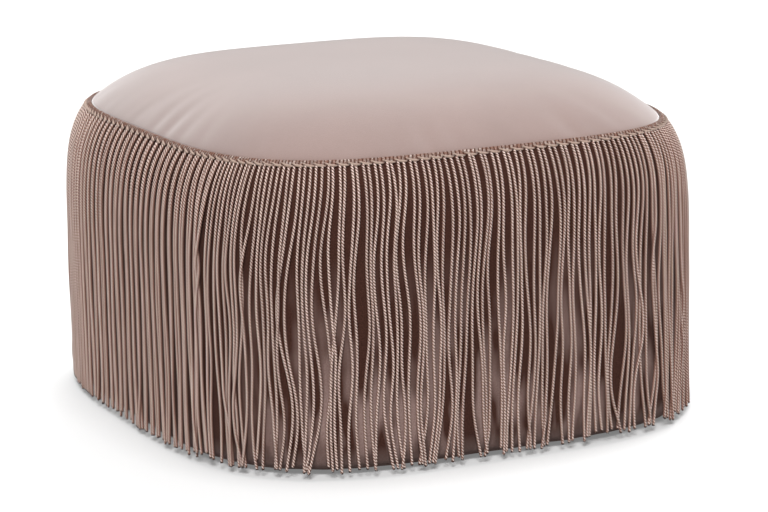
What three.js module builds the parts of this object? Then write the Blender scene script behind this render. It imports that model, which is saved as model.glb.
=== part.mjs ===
// An upholstered tuffet: a timber carcass padded with foam, covered in velvet, with a curtain of
// cord fringe hanging from a braid round the top seam.
// Millimetres. X runs along the shorter side, -Y is the front, +Z is up, and the floor is z = 0.
import * as THREE from "three";

// Outline and outer surface
const seamHalfWidth = 267; // centre to the top seam, along X
const seamHalfDepth = 293; // centre to the top seam, along Y
const planPower = 3.75; // 2 would be an ellipse, and more is squarer
const seamHeight = 320; // floor to the top seam
const crownRise = 52; // how far the seat swells above the seam
const crownPower = 4.9; // a larger power has a flatter top and a fuller edge
const sideBulge = 26; // how far the belly stands out past the seam
const shoulderDrop = 120; // from the seam down to where the side hangs upright
const footRise = 50; // height of the curve that turns in under the base
const footTuck = 30; // how far that curve turns in
const hemWidth = 30; // velvet folded flat under the base
const velvetThickness = 1.5;
const clearance = 0.3; // between pieces that touch

// Padding
const waddingThickness = 8;
const seatFoamEdge = 35; // height of the seat foam at its edge
const sideFoamThickness = 38;

// Carcass
const boardThickness = 18;
const seatRingWidth = 70;
const panelThickness = 3; // bent plywood round the posts
const postWidth = 38;
const postInset = 6; // from the edge of the boards to a post
const strapWidth = 50;
const strapThickness = 2;
const strapEndInset = 36; // from the edge of the seat ring to a strap's end

// Underside
const dustCoverThickness = 0.8;
const dustCoverLap = 14; // how far it covers the hem
const glideRadius = 15;
const glideHeight = 9;
const glideBevel = 2;
const glideInset = 60; // from the seam line to a glide's centre
const nailRadius = 1.5;
const nailHeadRadius = 4;
const nailHeadThickness = 1;
const nailHeadDepth = 3; // from the glide's sole up to the nail's head
const nailLength = 23;

// Braid and fringe
const braidWidth = 10.5;
const braidThickness = 2.5;
const beadWidth = 4; // the stitched cord along the braid's lower edge
const beadThickness = 5;
const braidLanding = 4; // flat of the shoulder left below the braid
const braidEndGap = 0.4; // between one length of braid and the next
const strandDiameter = 4.5;
const strandGap = 1.45; // between neighbours at the braid
const strandRootHeight = 2.6; // a strand's middle above the velvet at the braid
const strandStandOff = 3; // and lower down the shoulder
const hangGap = 4.2; // from the belly to the middle of a hanging strand
const fringeClearance = 8; // floor to the fringe's ends
const raggedEnd = 3; // how far the ends differ from that

// Shares of the sizes above
const shoulderOutShares = [0, 0.65, 1, 1];
const shoulderDownShares = [0, 0.14, 0.375, 1];
const footInShares = [0, 0, 0.4, 1];
const footDownShares = [0, 0.6, 1, 1];
const shoulderStationShares = [0.3, 0.555, 1];
const footStationShares = [0.35, 0.7, 1];
const crownStationShares = [0.3, 0.55, 0.73, 0.86, 0.95];
const strapPitchShare = 0.25;
const pairHalfShare = 0.235; // from a pair's middle to each of its strands, of the pair pitch
const wideSwayShare = 0.02;
const fineSwayShare = 0.014;
const strandSwayShares = [0, 0, 0.3, 1]; // how much of the sway a strand has at each of its points

// Counts
const facetsAround = 48; // a multiple of eight, so that sides and corners fall on facet ends
const sides = 4;
const strapsEachWay = 4;
const strandSides = 3;
const glideFacets = 16;
const nailFacets = 10;
const wideWaves = 15; // waves of sway round the fringe
const fineWaves = 37;
const raggedWaves = 97;

// Heights and offsets worked out from the sizes
const dustCoverBottom = glideHeight + clearance;
const hemBottom = dustCoverBottom + dustCoverThickness + clearance;
const boardBottom = hemBottom + velvetThickness + clearance;
const seatFoamBottom = seamHeight - seatFoamEdge;
const strapRise = strapThickness + clearance; // from a strap below to the one that crosses it
const seatRingTop = seatFoamBottom - clearance - strapRise - strapThickness - clearance;
const seatRingBottom = seatRingTop - boardThickness;
const panelOffset = sideBulge - velvetThickness - clearance - sideFoamThickness - clearance;
const boardOffset = panelOffset - panelThickness - clearance;
const jointSlope = -panelOffset / seatFoamEdge; // the joint of seat and side leans in as it goes down
const strandRadius = strandDiameter / 2 / Math.sin(Math.PI / strandSides);

const materials = {
  velvet: new THREE.MeshStandardMaterial({ color: "#c2b0a8", roughness: 0.95, metalness: 0 }),
  cord: new THREE.MeshStandardMaterial({ color: "#94776b", roughness: 0.85, metalness: 0 }),
  foam: new THREE.MeshStandardMaterial({ color: "#e9e1c6", roughness: 1, metalness: 0 }),
  wadding: new THREE.MeshStandardMaterial({ color: "#f2f1ee", roughness: 1, metalness: 0 }),
  plywood: new THREE.MeshStandardMaterial({ color: "#c9a878", roughness: 0.8, metalness: 0 }),
  pine: new THREE.MeshStandardMaterial({ color: "#d8b98a", roughness: 0.8, metalness: 0 }),
  webbing: new THREE.MeshStandardMaterial({ color: "#3a3a3c", roughness: 0.95, metalness: 0 }),
  dust_cloth: new THREE.MeshStandardMaterial({ color: "#1c1c1d", roughness: 1, metalness: 0 }),
  glide_plastic: new THREE.MeshStandardMaterial({ color: "#242424", roughness: 0.6, metalness: 0 }),
  nail_steel: new THREE.MeshStandardMaterial({ color: "#b4b6b8", roughness: 0.35, metalness: 1 }),
};

const tuffet = new THREE.Group();

function addPiece(name, geometry, material) {
  geometry.computeVertexNormals();
  const mesh = new THREE.Mesh(geometry, material);
  mesh.name = name;
  tuffet.add(mesh);
  return mesh;
}

// Plan outline of the top seam: a rounded rectangle given by one formula.
class SeamOutline extends THREE.Curve {
  getPoint(share, target = new THREE.Vector3()) {
    const angle = share * 2 * Math.PI;
    const across = Math.abs(Math.cos(angle) / seamHalfWidth) ** planPower;
    const along = Math.abs(Math.sin(angle) / seamHalfDepth) ** planPower;
    const reach = (across + along) ** (-1 / planPower);
    return target.set(reach * Math.cos(angle), reach * Math.sin(angle), 0);
  }
}

function outlineNormal({ x, y }) {
  const nx = (Math.sign(x) * Math.abs(x / seamHalfWidth) ** (planPower - 1)) / seamHalfWidth;
  const ny = (Math.sign(y) * Math.abs(y / seamHalfDepth) ** (planPower - 1)) / seamHalfDepth;
  return new THREE.Vector2(nx, ny).normalize();
}

const seamOutline = new SeamOutline();
seamOutline.arcLengthDivisions = facetsAround * 20;
const seamLength = seamOutline.getLength();

// Every layer shares these corners, so that the facets of neighbouring layers stay parallel.
const seamCorners = Array.from({ length: facetsAround }, (_, i) => {
  const point = seamOutline.getPointAt(i / facetsAround);
  return { point: new THREE.Vector2(point.x, point.y), normal: outlineNormal(point) };
});

// Point of the faceted outline at a share of the way round, moved out and set at a height.
function aroundAt(share, out, height) {
  const place = (((share % 1) + 1) % 1) * facetsAround;
  const index = Math.floor(place) % facetsAround;
  const from = seamCorners[index];
  const to = seamCorners[(index + 1) % facetsAround];
  const point = from.point.clone().lerp(to.point, place - Math.floor(place));
  const normal = from.normal.clone().lerp(to.normal, place - Math.floor(place));
  return new THREE.Vector3(point.x + out * normal.x, point.y + out * normal.y, height);
}

function offsetRing(out, height) {
  return seamCorners.map((_, i) => aroundAt(i / facetsAround, out, height));
}

function scaledRing(share, height) {
  return seamCorners.map(({ point }) => new THREE.Vector3(point.x * share, point.y * share, height));
}

// Closed body from rings that run from the middle of its top, out and down, to the middle below.
function domeBody(rings, topHeight, bottomHeight) {
  const around = rings[0].length;
  const positions = rings.flat().flatMap((p) => p.toArray());
  positions.push(0, 0, topHeight, 0, 0, bottomHeight);
  const top = rings.length * around;
  const bottom = top + 1;
  const last = top - around;
  const faces = [];
  for (let j = 0; j < around; j++) {
    const next = (j + 1) % around;
    faces.push(top, j, next);
    for (let i = 0; i + 1 < rings.length; i++) {
      const a = i * around;
      const b = a + around;
      faces.push(a + j, b + j, b + next, a + j, b + next, a + next);
    }
    faces.push(bottom, last + next, last + j);
  }
  return bodyFrom(positions, faces);
}

// Faces of a sweep: each section along the outline holds a profile's points, which go clockwise
// with the outside on the right, and the first edges of the profile are joined to the next section.
function sweepFaces(sectionCount, profileCount, edgeCount, closed) {
  const faces = [];
  for (let s = 0; s < (closed ? sectionCount : sectionCount - 1); s++) {
    const here = s * profileCount;
    const there = ((s + 1) % sectionCount) * profileCount;
    for (let i = 0; i < edgeCount; i++) {
      const next = (i + 1) % profileCount;
      faces.push(here + i, here + next, there + next, here + i, there + next, there + i);
    }
  }
  return faces;
}

// Triangles that fill an outline with holes, all turning left
function fillFaces(contour, holes) {
  const points = [contour, ...holes].flat();
  return THREE.ShapeUtils.triangulateShape(contour, holes).map(([a, b, c]) => {
    const turnsLeft = THREE.ShapeUtils.area([points[a], points[b], points[c]]) > 0;
    return turnsLeft ? [a, b, c] : [a, c, b];
  });
}

function bodyFrom(positions, faces) {
  const geometry = new THREE.BufferGeometry();
  geometry.setAttribute("position", new THREE.Float32BufferAttribute(positions, 3));
  geometry.setIndex(faces);
  return geometry;
}

// Band that follows the whole outline: each profile point is an offset out and a height.
function bandBody(profile) {
  const sections = seamCorners.map((_, i) =>
    profile.map((p) => aroundAt(i / facetsAround, p.x, p.y)),
  );
  const positions = sections.flat().flatMap((p) => p.toArray());
  return bodyFrom(positions, sweepFaces(sections.length, profile.length, profile.length, true));
}

function outlineShape(out) {
  return new THREE.Shape(offsetRing(out, 0).map((p) => new THREE.Vector2(p.x, p.y)));
}

function roundHole(x, y, radius, facets) {
  const corners = Array.from({ length: facets }, (_, i) => {
    const angle = (-i / facets) * 2 * Math.PI;
    return new THREE.Vector2(x + radius * Math.cos(angle), y + radius * Math.sin(angle));
  });
  return new THREE.Path(corners);
}

function slab(shape, bottom, thickness) {
  const geometry = new THREE.ExtrudeGeometry(shape, { depth: thickness, bevelEnabled: false });
  return geometry.translate(0, 0, bottom);
}

// Side surface: a shoulder that leaves the seam at the seat's slope, an upright belly, and a foot.
function curveFrom(start, outs, heights) {
  const points = outs.map((out, i) => new THREE.Vector2(start.x + out, start.y + heights[i]));
  return new THREE.CubicBezierCurve(...points);
}

const shoulder = curveFrom(
  new THREE.Vector2(0, seamHeight),
  shoulderOutShares.map((share) => share * sideBulge),
  shoulderDownShares.map((share) => -share * shoulderDrop),
);
const foot = curveFrom(
  new THREE.Vector2(sideBulge, hemBottom + footRise),
  footInShares.map((share) => -share * footTuck),
  footDownShares.map((share) => -share * footRise),
);
const landingShare = (braidWidth + braidLanding) / shoulder.getLength();

function surfacePoint(curve, share, depth) {
  const point = curve.getPointAt(share);
  const along = curve.getTangentAt(share);
  return new THREE.Vector2(point.x + depth * along.y, point.y - depth * along.x);
}

// Joint between the seat and the side at a depth below the seam.
function jointPoint(drop, shift) {
  return new THREE.Vector2(-jointSlope * drop + shift, seamHeight - drop);
}

// Outer line of a side layer, from the seam to the foot, at a depth under the velvet's surface.
function sideLine(depth) {
  return [
    jointPoint(depth * Math.SQRT2, clearance),
    surfacePoint(shoulder, landingShare, depth),
    ...shoulderStationShares.map((share) => surfacePoint(shoulder, share, depth)),
    surfacePoint(foot, 0, depth),
    ...footStationShares.map((share) => surfacePoint(foot, share, depth)),
  ];
}

// Seat surface
function crownHeight(share, depth) {
  return seamHeight + crownRise * (1 - share ** crownPower) - depth;
}

function crownRings(depth) {
  const rim = jointPoint(depth, -clearance / 2);
  const rings = crownStationShares.map((share) => scaledRing(share, crownHeight(share, depth)));
  return [...rings, offsetRing(rim.x, rim.y)];
}

function crownLayer(depth, thickness) {
  const under = crownRings(depth + thickness).reverse();
  const rings = [...crownRings(depth), ...under];
  return domeBody(rings, crownHeight(0, depth), crownHeight(0, depth + thickness));
}

function seatFoamBody(depth) {
  const edge = jointPoint(seatFoamEdge, -clearance / 2);
  const rings = [...crownRings(depth), offsetRing(edge.x, edge.y)];
  return domeBody(rings, crownHeight(0, depth), edge.y);
}

const waddingDepth = velvetThickness + clearance;
const seatFoamDepth = waddingDepth + waddingThickness + clearance;
addPiece("seat_cover", crownLayer(0, velvetThickness), materials.velvet);
addPiece("seat_wadding", crownLayer(waddingDepth, waddingThickness), materials.wadding);
addPiece("seat_foam", seatFoamBody(seatFoamDepth), materials.foam);

// Velvet side with its hem folded under the base
function sideCoverBody() {
  const hemEnd = sideBulge - footTuck - hemWidth;
  const profile = [
    ...sideLine(0),
    new THREE.Vector2(hemEnd, hemBottom),
    new THREE.Vector2(hemEnd, hemBottom + velvetThickness),
    ...sideLine(velvetThickness).reverse(),
  ];
  return bandBody(profile);
}

function sideFoamBody() {
  const wall = panelOffset + clearance;
  const profile = [
    ...sideLine(velvetThickness + clearance),
    new THREE.Vector2(wall, boardBottom),
    new THREE.Vector2(wall, seatFoamBottom),
  ];
  return bandBody(profile);
}

function panelBody() {
  const inner = panelOffset - panelThickness;
  const top = seatFoamBottom - clearance;
  const profile = [
    new THREE.Vector2(panelOffset, top),
    new THREE.Vector2(panelOffset, boardBottom),
    new THREE.Vector2(inner, boardBottom),
    new THREE.Vector2(inner, top),
  ];
  return bandBody(profile);
}

addPiece("side_cover", sideCoverBody(), materials.velvet);
addPiece("side_foam", sideFoamBody(), materials.foam);
addPiece("side_panel", panelBody(), materials.plywood);

// Corners and sides of the plan, as shares of the way round from +X, anticlockwise
const cornerNames = ["back_right", "back_left", "front_left", "front_right"];
const sideNames = ["right", "back", "left", "front"];
const cornerShare = (corner) => (corner + 0.5) / sides;
const sideShare = (side) => side / sides;

function glideCentre(corner) {
  return aroundAt(cornerShare(corner), -glideInset, 0);
}

function boardWithNailHoles(out, bottom, thickness) {
  const shape = outlineShape(out);
  cornerNames.forEach((_, corner) => {
    const centre = glideCentre(corner);
    shape.holes.push(roundHole(centre.x, centre.y, nailRadius + clearance, nailFacets));
  });
  return slab(shape, bottom, thickness);
}

function seatRingBody() {
  const shape = outlineShape(boardOffset);
  const opening = offsetRing(boardOffset - seatRingWidth, 0).reverse();
  shape.holes.push(new THREE.Path(opening.map((p) => new THREE.Vector2(p.x, p.y))));
  return slab(shape, seatRingBottom, boardThickness);
}

const dustCoverOffset = sideBulge - footTuck - hemWidth + dustCoverLap;
addPiece(
  "base_board",
  boardWithNailHoles(boardOffset, boardBottom, boardThickness),
  materials.plywood,
);
addPiece("seat_ring", seatRingBody(), materials.plywood);
addPiece(
  "dust_cover",
  boardWithNailHoles(dustCoverOffset, dustCoverBottom, dustCoverThickness),
  materials.dust_cloth,
);

// Posts between the base board and the seat ring, square to the outline
function addPost(name, share) {
  const bottom = boardBottom + boardThickness + clearance;
  const height = seatRingBottom - clearance - bottom;
  const post = addPiece(
    name,
    new THREE.BoxGeometry(postWidth, postWidth, height),
    materials.pine,
  );
  const edge = aroundAt(share, 0, 0);
  const centre = aroundAt(share, boardOffset - postInset - postWidth / 2, 0);
  post.position.set(centre.x, centre.y, bottom + height / 2);
  post.rotation.z = Math.atan2(edge.y - centre.y, edge.x - centre.x);
}

sideNames.forEach((name, side) => addPost("post_" + name, sideShare(side)));
cornerNames.forEach((name, corner) => addPost("post_" + name, cornerShare(corner)));

// Seat webbing: straps woven over and under each other, their ends on the seat ring
const longStrap = {
  reach: seamHalfDepth + boardOffset - strapEndInset,
  pitch: 2 * (seamHalfWidth + boardOffset - seatRingWidth) * strapPitchShare,
  crossing: 2 * (seamHalfDepth + boardOffset - seatRingWidth) * strapPitchShare,
};
const crossStrap = {
  reach: seamHalfWidth + boardOffset - strapEndInset,
  pitch: longStrap.crossing,
  crossing: longStrap.pitch,
};
const strapPlace = (index) => index - (strapsEachWay - 1) / 2;

function strapBody({ reach, crossing }, row, overFirst) {
  const low = seatRingTop + clearance;
  const bends = [new THREE.Vector2(-reach, low)];
  for (let i = 0; i < strapsEachWay; i++) {
    const middle = strapPlace(i) * crossing;
    const over = (i + row + overFirst) % 2 === 0;
    const height = over ? low + strapRise : low;
    const half = strapWidth / 2 + strapThickness;
    bends.push(new THREE.Vector2(middle - half, height), new THREE.Vector2(middle + half, height));
  }
  bends.push(new THREE.Vector2(reach, low));
  const upper = bends.map((p) => new THREE.Vector2(p.x, p.y + strapThickness)).reverse();
  const shape = new THREE.Shape([...bends, ...upper]);
  const settings = { depth: strapWidth, bevelEnabled: false };
  const geometry = new THREE.ExtrudeGeometry(shape, settings);
  return geometry.translate(0, 0, -strapWidth / 2).rotateX(Math.PI / 2);
}

for (let i = 0; i < strapsEachWay; i++) {
  const crossPiece = addPiece("strap_cross_" + (i + 1), strapBody(crossStrap, i, 0), materials.webbing);
  crossPiece.position.y = strapPlace(i) * crossStrap.pitch;
  const longPiece = addPiece("strap_long_" + (i + 1), strapBody(longStrap, i, 1), materials.webbing);
  longPiece.rotation.z = Math.PI / 2;
  longPiece.position.x = strapPlace(i) * longStrap.pitch;
}

// Nailed glides under the corners
function glideBody() {
  const bore = nailRadius + clearance;
  const recess = nailHeadRadius + clearance;
  const recessTop = nailHeadDepth + nailHeadThickness;
  const profile = [
    new THREE.Vector2(recess, 0),
    new THREE.Vector2(glideRadius - glideBevel, 0),
    new THREE.Vector2(glideRadius, glideBevel),
    new THREE.Vector2(glideRadius, glideHeight),
    new THREE.Vector2(bore, glideHeight),
    new THREE.Vector2(bore, recessTop),
    new THREE.Vector2(recess, recessTop),
    new THREE.Vector2(recess, 0),
  ];
  return new THREE.LatheGeometry(profile, glideFacets).rotateX(Math.PI / 2);
}

function nailBody() {
  const bottom = nailHeadDepth - clearance;
  const shankStart = bottom + nailHeadThickness;
  const tip = bottom + nailLength;
  const profile = [
    new THREE.Vector2(0, bottom),
    new THREE.Vector2(nailHeadRadius, bottom),
    new THREE.Vector2(nailHeadRadius, shankStart),
    new THREE.Vector2(nailRadius, shankStart),
    new THREE.Vector2(nailRadius, tip - 2 * nailRadius),
    new THREE.Vector2(0, tip),
  ];
  return new THREE.LatheGeometry(profile, nailFacets).rotateX(Math.PI / 2);
}

cornerNames.forEach((name, corner) => {
  const centre = glideCentre(corner);
  addPiece("glide_" + name, glideBody(), materials.glide_plastic).position.copy(centre);
  addPiece("glide_nail_" + name, nailBody(), materials.nail_steel).position.copy(centre);
});

// Braid and fringe
// The braid lies on the straight landing between the seam and the shoulder's first station.
const landingStart = sideLine(0)[0];
const landingEnd = sideLine(0)[1];
const landingAlong = landingEnd.clone().sub(landingStart).normalize();
const landingOut = new THREE.Vector2(-landingAlong.y, landingAlong.x);

function onLanding(distance, height) {
  const point = landingStart.clone().addScaledVector(landingAlong, distance);
  return point.addScaledVector(landingOut, height);
}

// Its last edge, from the last point back to the first, is the end face that strands grow from.
const braidProfile = [
  onLanding(braidWidth, clearance),
  onLanding(0, clearance),
  onLanding(0, clearance + braidThickness),
  onLanding(braidWidth - beadWidth, clearance + braidThickness),
  onLanding(braidWidth - beadWidth, clearance + beadThickness),
  onLanding(braidWidth, clearance + beadThickness),
];

// One strand's middle line in the upright plane that it hangs in, from the braid to its end
function strandLine(endHeight) {
  return [
    onLanding(braidWidth, strandRootHeight),
    surfacePoint(shoulder, shoulderStationShares[0], -strandStandOff),
    surfacePoint(shoulder, shoulderStationShares[1], -hangGap),
    new THREE.Vector2(sideBulge + hangGap, endHeight),
  ];
}

// Directions square to a strand's middle line, after the first, which lies in the braid's end face
function squareTo(line) {
  return line.map((point, i) => {
    if (i === 0) return landingOut;
    const after = line[Math.min(i + 1, line.length - 1)];
    const along = after.clone().sub(line[i - 1]).normalize();
    return new THREE.Vector2(-along.y, along.x);
  });
}

// Sway along the outline as a share of it, smooth enough that neighbours never meet
function sway(share) {
  const wide = (wideSwayShare / wideWaves) * Math.sin(2 * Math.PI * wideWaves * share);
  const fine = (fineSwayShare / fineWaves) * Math.sin(2 * Math.PI * fineWaves * share);
  return wide + fine;
}

// Rings of a strand as [share of the outline, offset out, height], outermost corner first
function strandRings(share) {
  const endHeight = fringeClearance + raggedEnd * Math.sin(2 * Math.PI * raggedWaves * share);
  const line = strandLine(endHeight);
  const outs = squareTo(line);
  return line.map((point, i) => {
    const place = share + strandSwayShares[i] * sway(share);
    return Array.from({ length: strandSides }, (_, k) => {
      const angle = (k / strandSides) * 2 * Math.PI;
      const corner = point.clone().addScaledVector(outs[i], strandRadius * Math.cos(angle));
      return [place + (strandRadius * Math.sin(angle)) / seamLength, corner.x, corner.y];
    });
  });
}

function strandFaces(first, ringCount) {
  const faces = [];
  for (let i = 0; i + 1 < ringCount; i++) {
    const upper = first + i * strandSides;
    const lower = upper + strandSides;
    for (let k = 0; k < strandSides; k++) {
      const next = (k + 1) % strandSides;
      faces.push(upper + k, lower + k, lower + next, upper + k, lower + next, upper + next);
    }
  }
  const last = first + (ringCount - 1) * strandSides;
  for (let k = 1; k + 1 < strandSides; k++) {
    faces.push(last, last + k + 1, last + k);
  }
  return faces;
}

const pairPitch = 2 * (strandDiameter + strandGap);
const pairsPerSide = Math.round(seamLength / sides / pairPitch);

function strandShares(startShare) {
  const pitchShare = 1 / sides / pairsPerSide;
  return Array.from({ length: 2 * pairsPerSide }, (_, i) => {
    const middle = startShare + (Math.floor(i / 2) + 0.5) * pitchShare;
    return middle + (i % 2 ? pairHalfShare : -pairHalfShare) * pitchShare;
  });
}

// The braid's end face drawn flat, as part of a ring as long as the seam, to fill it with faces
function drawnFlat(share, point) {
  const fromVelvet = point.clone().sub(landingStart).dot(landingOut);
  const radius = seamLength / (2 * Math.PI) - fromVelvet;
  return new THREE.Vector2(radius, 0).rotateAround(new THREE.Vector2(), share * 2 * Math.PI);
}

// One length of braid with its strands growing from the braid's lower end face
function fringeBody(startShare) {
  const gapShare = braidEndGap / 2 / seamLength;
  const endShare = startShare + 1 / sides;
  const stops = Array.from({ length: facetsAround / sides - 1 }, (_, i) => (i + 1) / facetsAround);
  const places = [
    startShare + gapShare,
    ...stops.map((stop) => startShare + stop),
    endShare - gapShare,
  ];
  const profileCount = braidProfile.length;
  const positions = places.flatMap((share) =>
    braidProfile.flatMap((p) => aroundAt(share, p.x, p.y).toArray()),
  );
  const faces = sweepFaces(places.length, profileCount, profileCount - 1, false);
  const endSection = (places.length - 1) * profileCount;
  for (const [a, b, c] of fillFaces(braidProfile, [])) {
    faces.push(a, b, c, endSection + a, endSection + c, endSection + b);
  }

  const strands = strandShares(startShare).map(strandRings);
  const firstStrand = places.length * profileCount;
  const strandCorners = strands[0].length * strandSides;
  for (const [i, rings] of strands.entries()) {
    positions.push(...rings.flat().flatMap((corner) => aroundAt(...corner).toArray()));
    faces.push(...strandFaces(firstStrand + i * strandCorners, rings.length));
  }

  const inner = places.map((_, s) => s * profileCount);
  const outer = inner.map((corner) => corner + profileCount - 1).reverse();
  const contour = [
    ...places.map((share) => drawnFlat(share, braidProfile[0])),
    ...places.map((share) => drawnFlat(share, braidProfile[profileCount - 1])).reverse(),
  ];
  const roots = strands.map((rings) =>
    rings[0].map(([share, out, height]) => drawnFlat(share, new THREE.Vector2(out, height))),
  );
  const rootCorners = strands.flatMap((rings, i) =>
    rings[0].map((_, k) => firstStrand + i * strandCorners + k),
  );
  const corners = [...inner, ...outer, ...rootCorners];
  for (const triangle of fillFaces(contour, roots)) {
    faces.push(...triangle.map((corner) => corners[corner]));
  }
  return bodyFrom(positions, faces);
}

const fringeNames = ["fringe_back", "fringe_left", "fringe_front", "fringe_right"];
fringeNames.forEach((name, corner) => {
  addPiece(name, fringeBody(cornerShare(corner)), materials.cord);
});

export default tuffet;
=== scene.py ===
"""Dresses the tuffet: padding, velvet, webbing, braid and cord fringe over its packed carcass.

Metres. X runs along the shorter side, -Y is the front, +Z is up, and the floor is z = 0.
"""

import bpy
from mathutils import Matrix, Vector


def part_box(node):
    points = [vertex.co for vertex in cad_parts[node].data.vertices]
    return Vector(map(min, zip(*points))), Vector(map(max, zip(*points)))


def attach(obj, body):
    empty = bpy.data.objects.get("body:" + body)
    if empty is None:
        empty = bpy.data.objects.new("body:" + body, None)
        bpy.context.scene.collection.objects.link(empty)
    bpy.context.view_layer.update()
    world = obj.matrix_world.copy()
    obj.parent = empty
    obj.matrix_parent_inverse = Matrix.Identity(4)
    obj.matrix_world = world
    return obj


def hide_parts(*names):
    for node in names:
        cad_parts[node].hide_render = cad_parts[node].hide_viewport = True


bl_info = {
    "name": "Fringed tuffet",
    "version": (1, 0, 0),
    "blender": (4, 5, 0),
    "location": "View3D > Sidebar > Tuffet",
    "description": "Dresses a tuffet's carcass in velvet, braid and cord fringe",
    "category": "Object",
}

import math

import bmesh
import bpy
import numpy as np
from bpy.props import FloatProperty, FloatVectorProperty, IntProperty, PointerProperty
from mathutils import Matrix, Vector

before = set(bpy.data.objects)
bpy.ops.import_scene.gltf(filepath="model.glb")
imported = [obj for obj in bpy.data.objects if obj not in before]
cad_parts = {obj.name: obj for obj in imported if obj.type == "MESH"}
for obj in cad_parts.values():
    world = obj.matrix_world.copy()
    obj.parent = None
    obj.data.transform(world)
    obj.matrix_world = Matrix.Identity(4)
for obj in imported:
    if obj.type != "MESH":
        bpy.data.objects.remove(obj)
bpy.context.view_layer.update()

# Sizes of the frame that the dressing follows
seat_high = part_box("seat_cover")[1]
side_low, side_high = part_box("side_cover")
cloth_low, cloth_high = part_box("dust_cover")
SEAM_HALF_WIDTH = seat_high.x
SEAM_HALF_DEPTH = seat_high.y
SEAM_HEIGHT = side_high.z
CROWN_RISE = seat_high.z - SEAM_HEIGHT
SIDE_BULGE = side_high.x - SEAM_HALF_WIDTH
HEM_BOTTOM = side_low.z
SEAT_FOAM_EDGE = SEAM_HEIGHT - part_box("seat_foam")[0].z
PANEL_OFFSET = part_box("side_panel")[1].x - SEAM_HALF_WIDTH

# Values behind the frame's outline and surface, repeated here. Only the foot is made fuller.
PLAN_POWER = 3.75
CROWN_POWER = 4.9
SHOULDER_DROP = 0.120
FOOT_RISE = 0.050
FOOT_TUCK = 0.030
HEM_WIDTH = 0.030
CLEARANCE = 0.0003
SHOULDER_OUT_SHARES = (0, 0.65, 1, 1)
SHOULDER_DOWN_SHARES = (0, 0.14, 0.375, 1)
FOOT_IN_SHARES = (0, -0.1, 0.25, 1)
FOOT_DOWN_SHARES = (0, 0.85, 1.3, 1)
JOINT_SLOPE = -PANEL_OFFSET / SEAT_FOAM_EDGE
LANDING = 0.0145  # flat of the shoulder below the seam
SIDES = 4
FRINGE_NODES = ("fringe_back", "fringe_left", "fringe_front", "fringe_right")
CORNERS = ("back_right", "back_left", "front_left", "front_right")


def length_property(name, description, default):
    return FloatProperty(
        name=name, description=description, default=default, unit="LENGTH", subtype="DISTANCE"
    )


def angle_property(name, description, degrees):
    return FloatProperty(
        name=name,
        description=description,
        default=math.radians(degrees),
        unit="ROTATION",
        subtype="ANGLE",
    )


def number_property(name, description, default):
    return FloatProperty(name=name, description=description, default=default)


def count_property(name, description, default):
    return IntProperty(name=name, description=description, default=default)


def colour_property(name, description, default):
    return FloatVectorProperty(
        name=name,
        description=description,
        default=default,
        size=3,
        min=0,
        max=1,
        subtype="COLOR",
    )


class TuffetSizes(bpy.types.PropertyGroup):
    velvet_thickness: length_property(
        "Velvet thickness", "Thickness of the velvet with its pile", 0.0011
    )
    pucker_depth: length_property(
        "Pucker depth", "How deep the usual pucker by the top seam is", 0.0010
    )
    pucker_count: count_property("Puckers", "Number of soft puckers round the top seam", 44)
    side_ripple: length_property(
        "Side ripple", "How far the velvet side waves in and out", 0.0007
    )
    cord_diameter: length_property("Cord diameter", "Diameter of a cord of the fringe", 0.0037)
    cord_lay: length_property("Cord lay", "Length of cord in which a ply goes once round", 0.0065)
    pairs_per_side: count_property(
        "Pairs of cords", "Pairs of cords in each of the four lengths of fringe", 41
    )
    cord_wander: length_property("Cord wander", "How far a cord strays sideways", 0.0058)
    ragged_end: length_property("Ragged ends", "How far the cords' ends differ in height", 0.0062)
    band_width: length_property(
        "Braid band width", "Width of the ribbed band above the stitched links", 0.0062
    )
    band_thickness: length_property(
        "Braid band thickness", "Thickness of the ribbed band at the top of a rib", 0.0026
    )
    ribs_per_side: count_property(
        "Ribs of the band", "Ribs of the band in each of the four lengths of braid", 123
    )
    link_width: length_property(
        "Link width", "Width of a stitched link at its thick end", 0.0031
    )
    staple_spacing: length_property(
        "Staple spacing", "Distance between the staples round the dust cover", 0.040
    )


class TuffetColours(bpy.types.PropertyGroup):
    velvet: colour_property("Velvet", "Colour of the pile", (0.292, 0.206, 0.186))
    # Painted shade: the dark colour of the velvet side below the seam, where the fringe shades it.
    velvet_painted_shade: colour_property(
        "Velvet, crushed", "Colour of the pile that the fringe lies on", (0.034, 0.014, 0.010)
    )
    # The yarn's own pale colour on the ply tops, made paler still as a painted highlight.
    cord_top: colour_property(
        "Cord, raised", "Colour on top of a ply of the cord", (0.955, 0.778, 0.700)
    )
    # Painted shade for the cords' ply sides and for the side of each cord that faces the velvet; also
    # the base colour of the braid band.
    cord_shade_and_band_brown: colour_property(
        "Cord, sides", "Colour down the side of a ply", (0.190, 0.074, 0.046)
    )
    # Painted shade between the plies.
    cord_groove_shade: colour_property(
        "Cord, grooves", "Colour between the plies", (0.016, 0.004, 0.003)
    )
    link: colour_property(
        "Links", "Colour of the braid's links", (0.440, 0.320, 0.262)
    )
    foam: colour_property("Foam", "Colour of the foam", (0.800, 0.740, 0.560))
    wadding: colour_property(
        "Wadding", "Colour of the wadding", (0.880, 0.870, 0.840)
    )
    plywood: colour_property(
        "Plywood", "Colour of the boards", (0.590, 0.395, 0.190)
    )
    pine: colour_property("Pine", "Colour of the posts", (0.690, 0.480, 0.255))
    webbing: colour_property(
        "Webbing", "Colour of the webbing", (0.040, 0.040, 0.044)
    )
    dust_cloth: colour_property(
        "Dust cover", "Colour of the cloth below", (0.012, 0.012, 0.013)
    )
    glide: colour_property("Glides", "Colour of the glides", (0.020, 0.020, 0.020))
    steel: colour_property(
        "Steel", "Colour of nails and staples", (0.560, 0.570, 0.580)
    )
    floor: colour_property("Floor", "Colour of the floor", (0.300, 0.300, 0.300))


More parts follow.
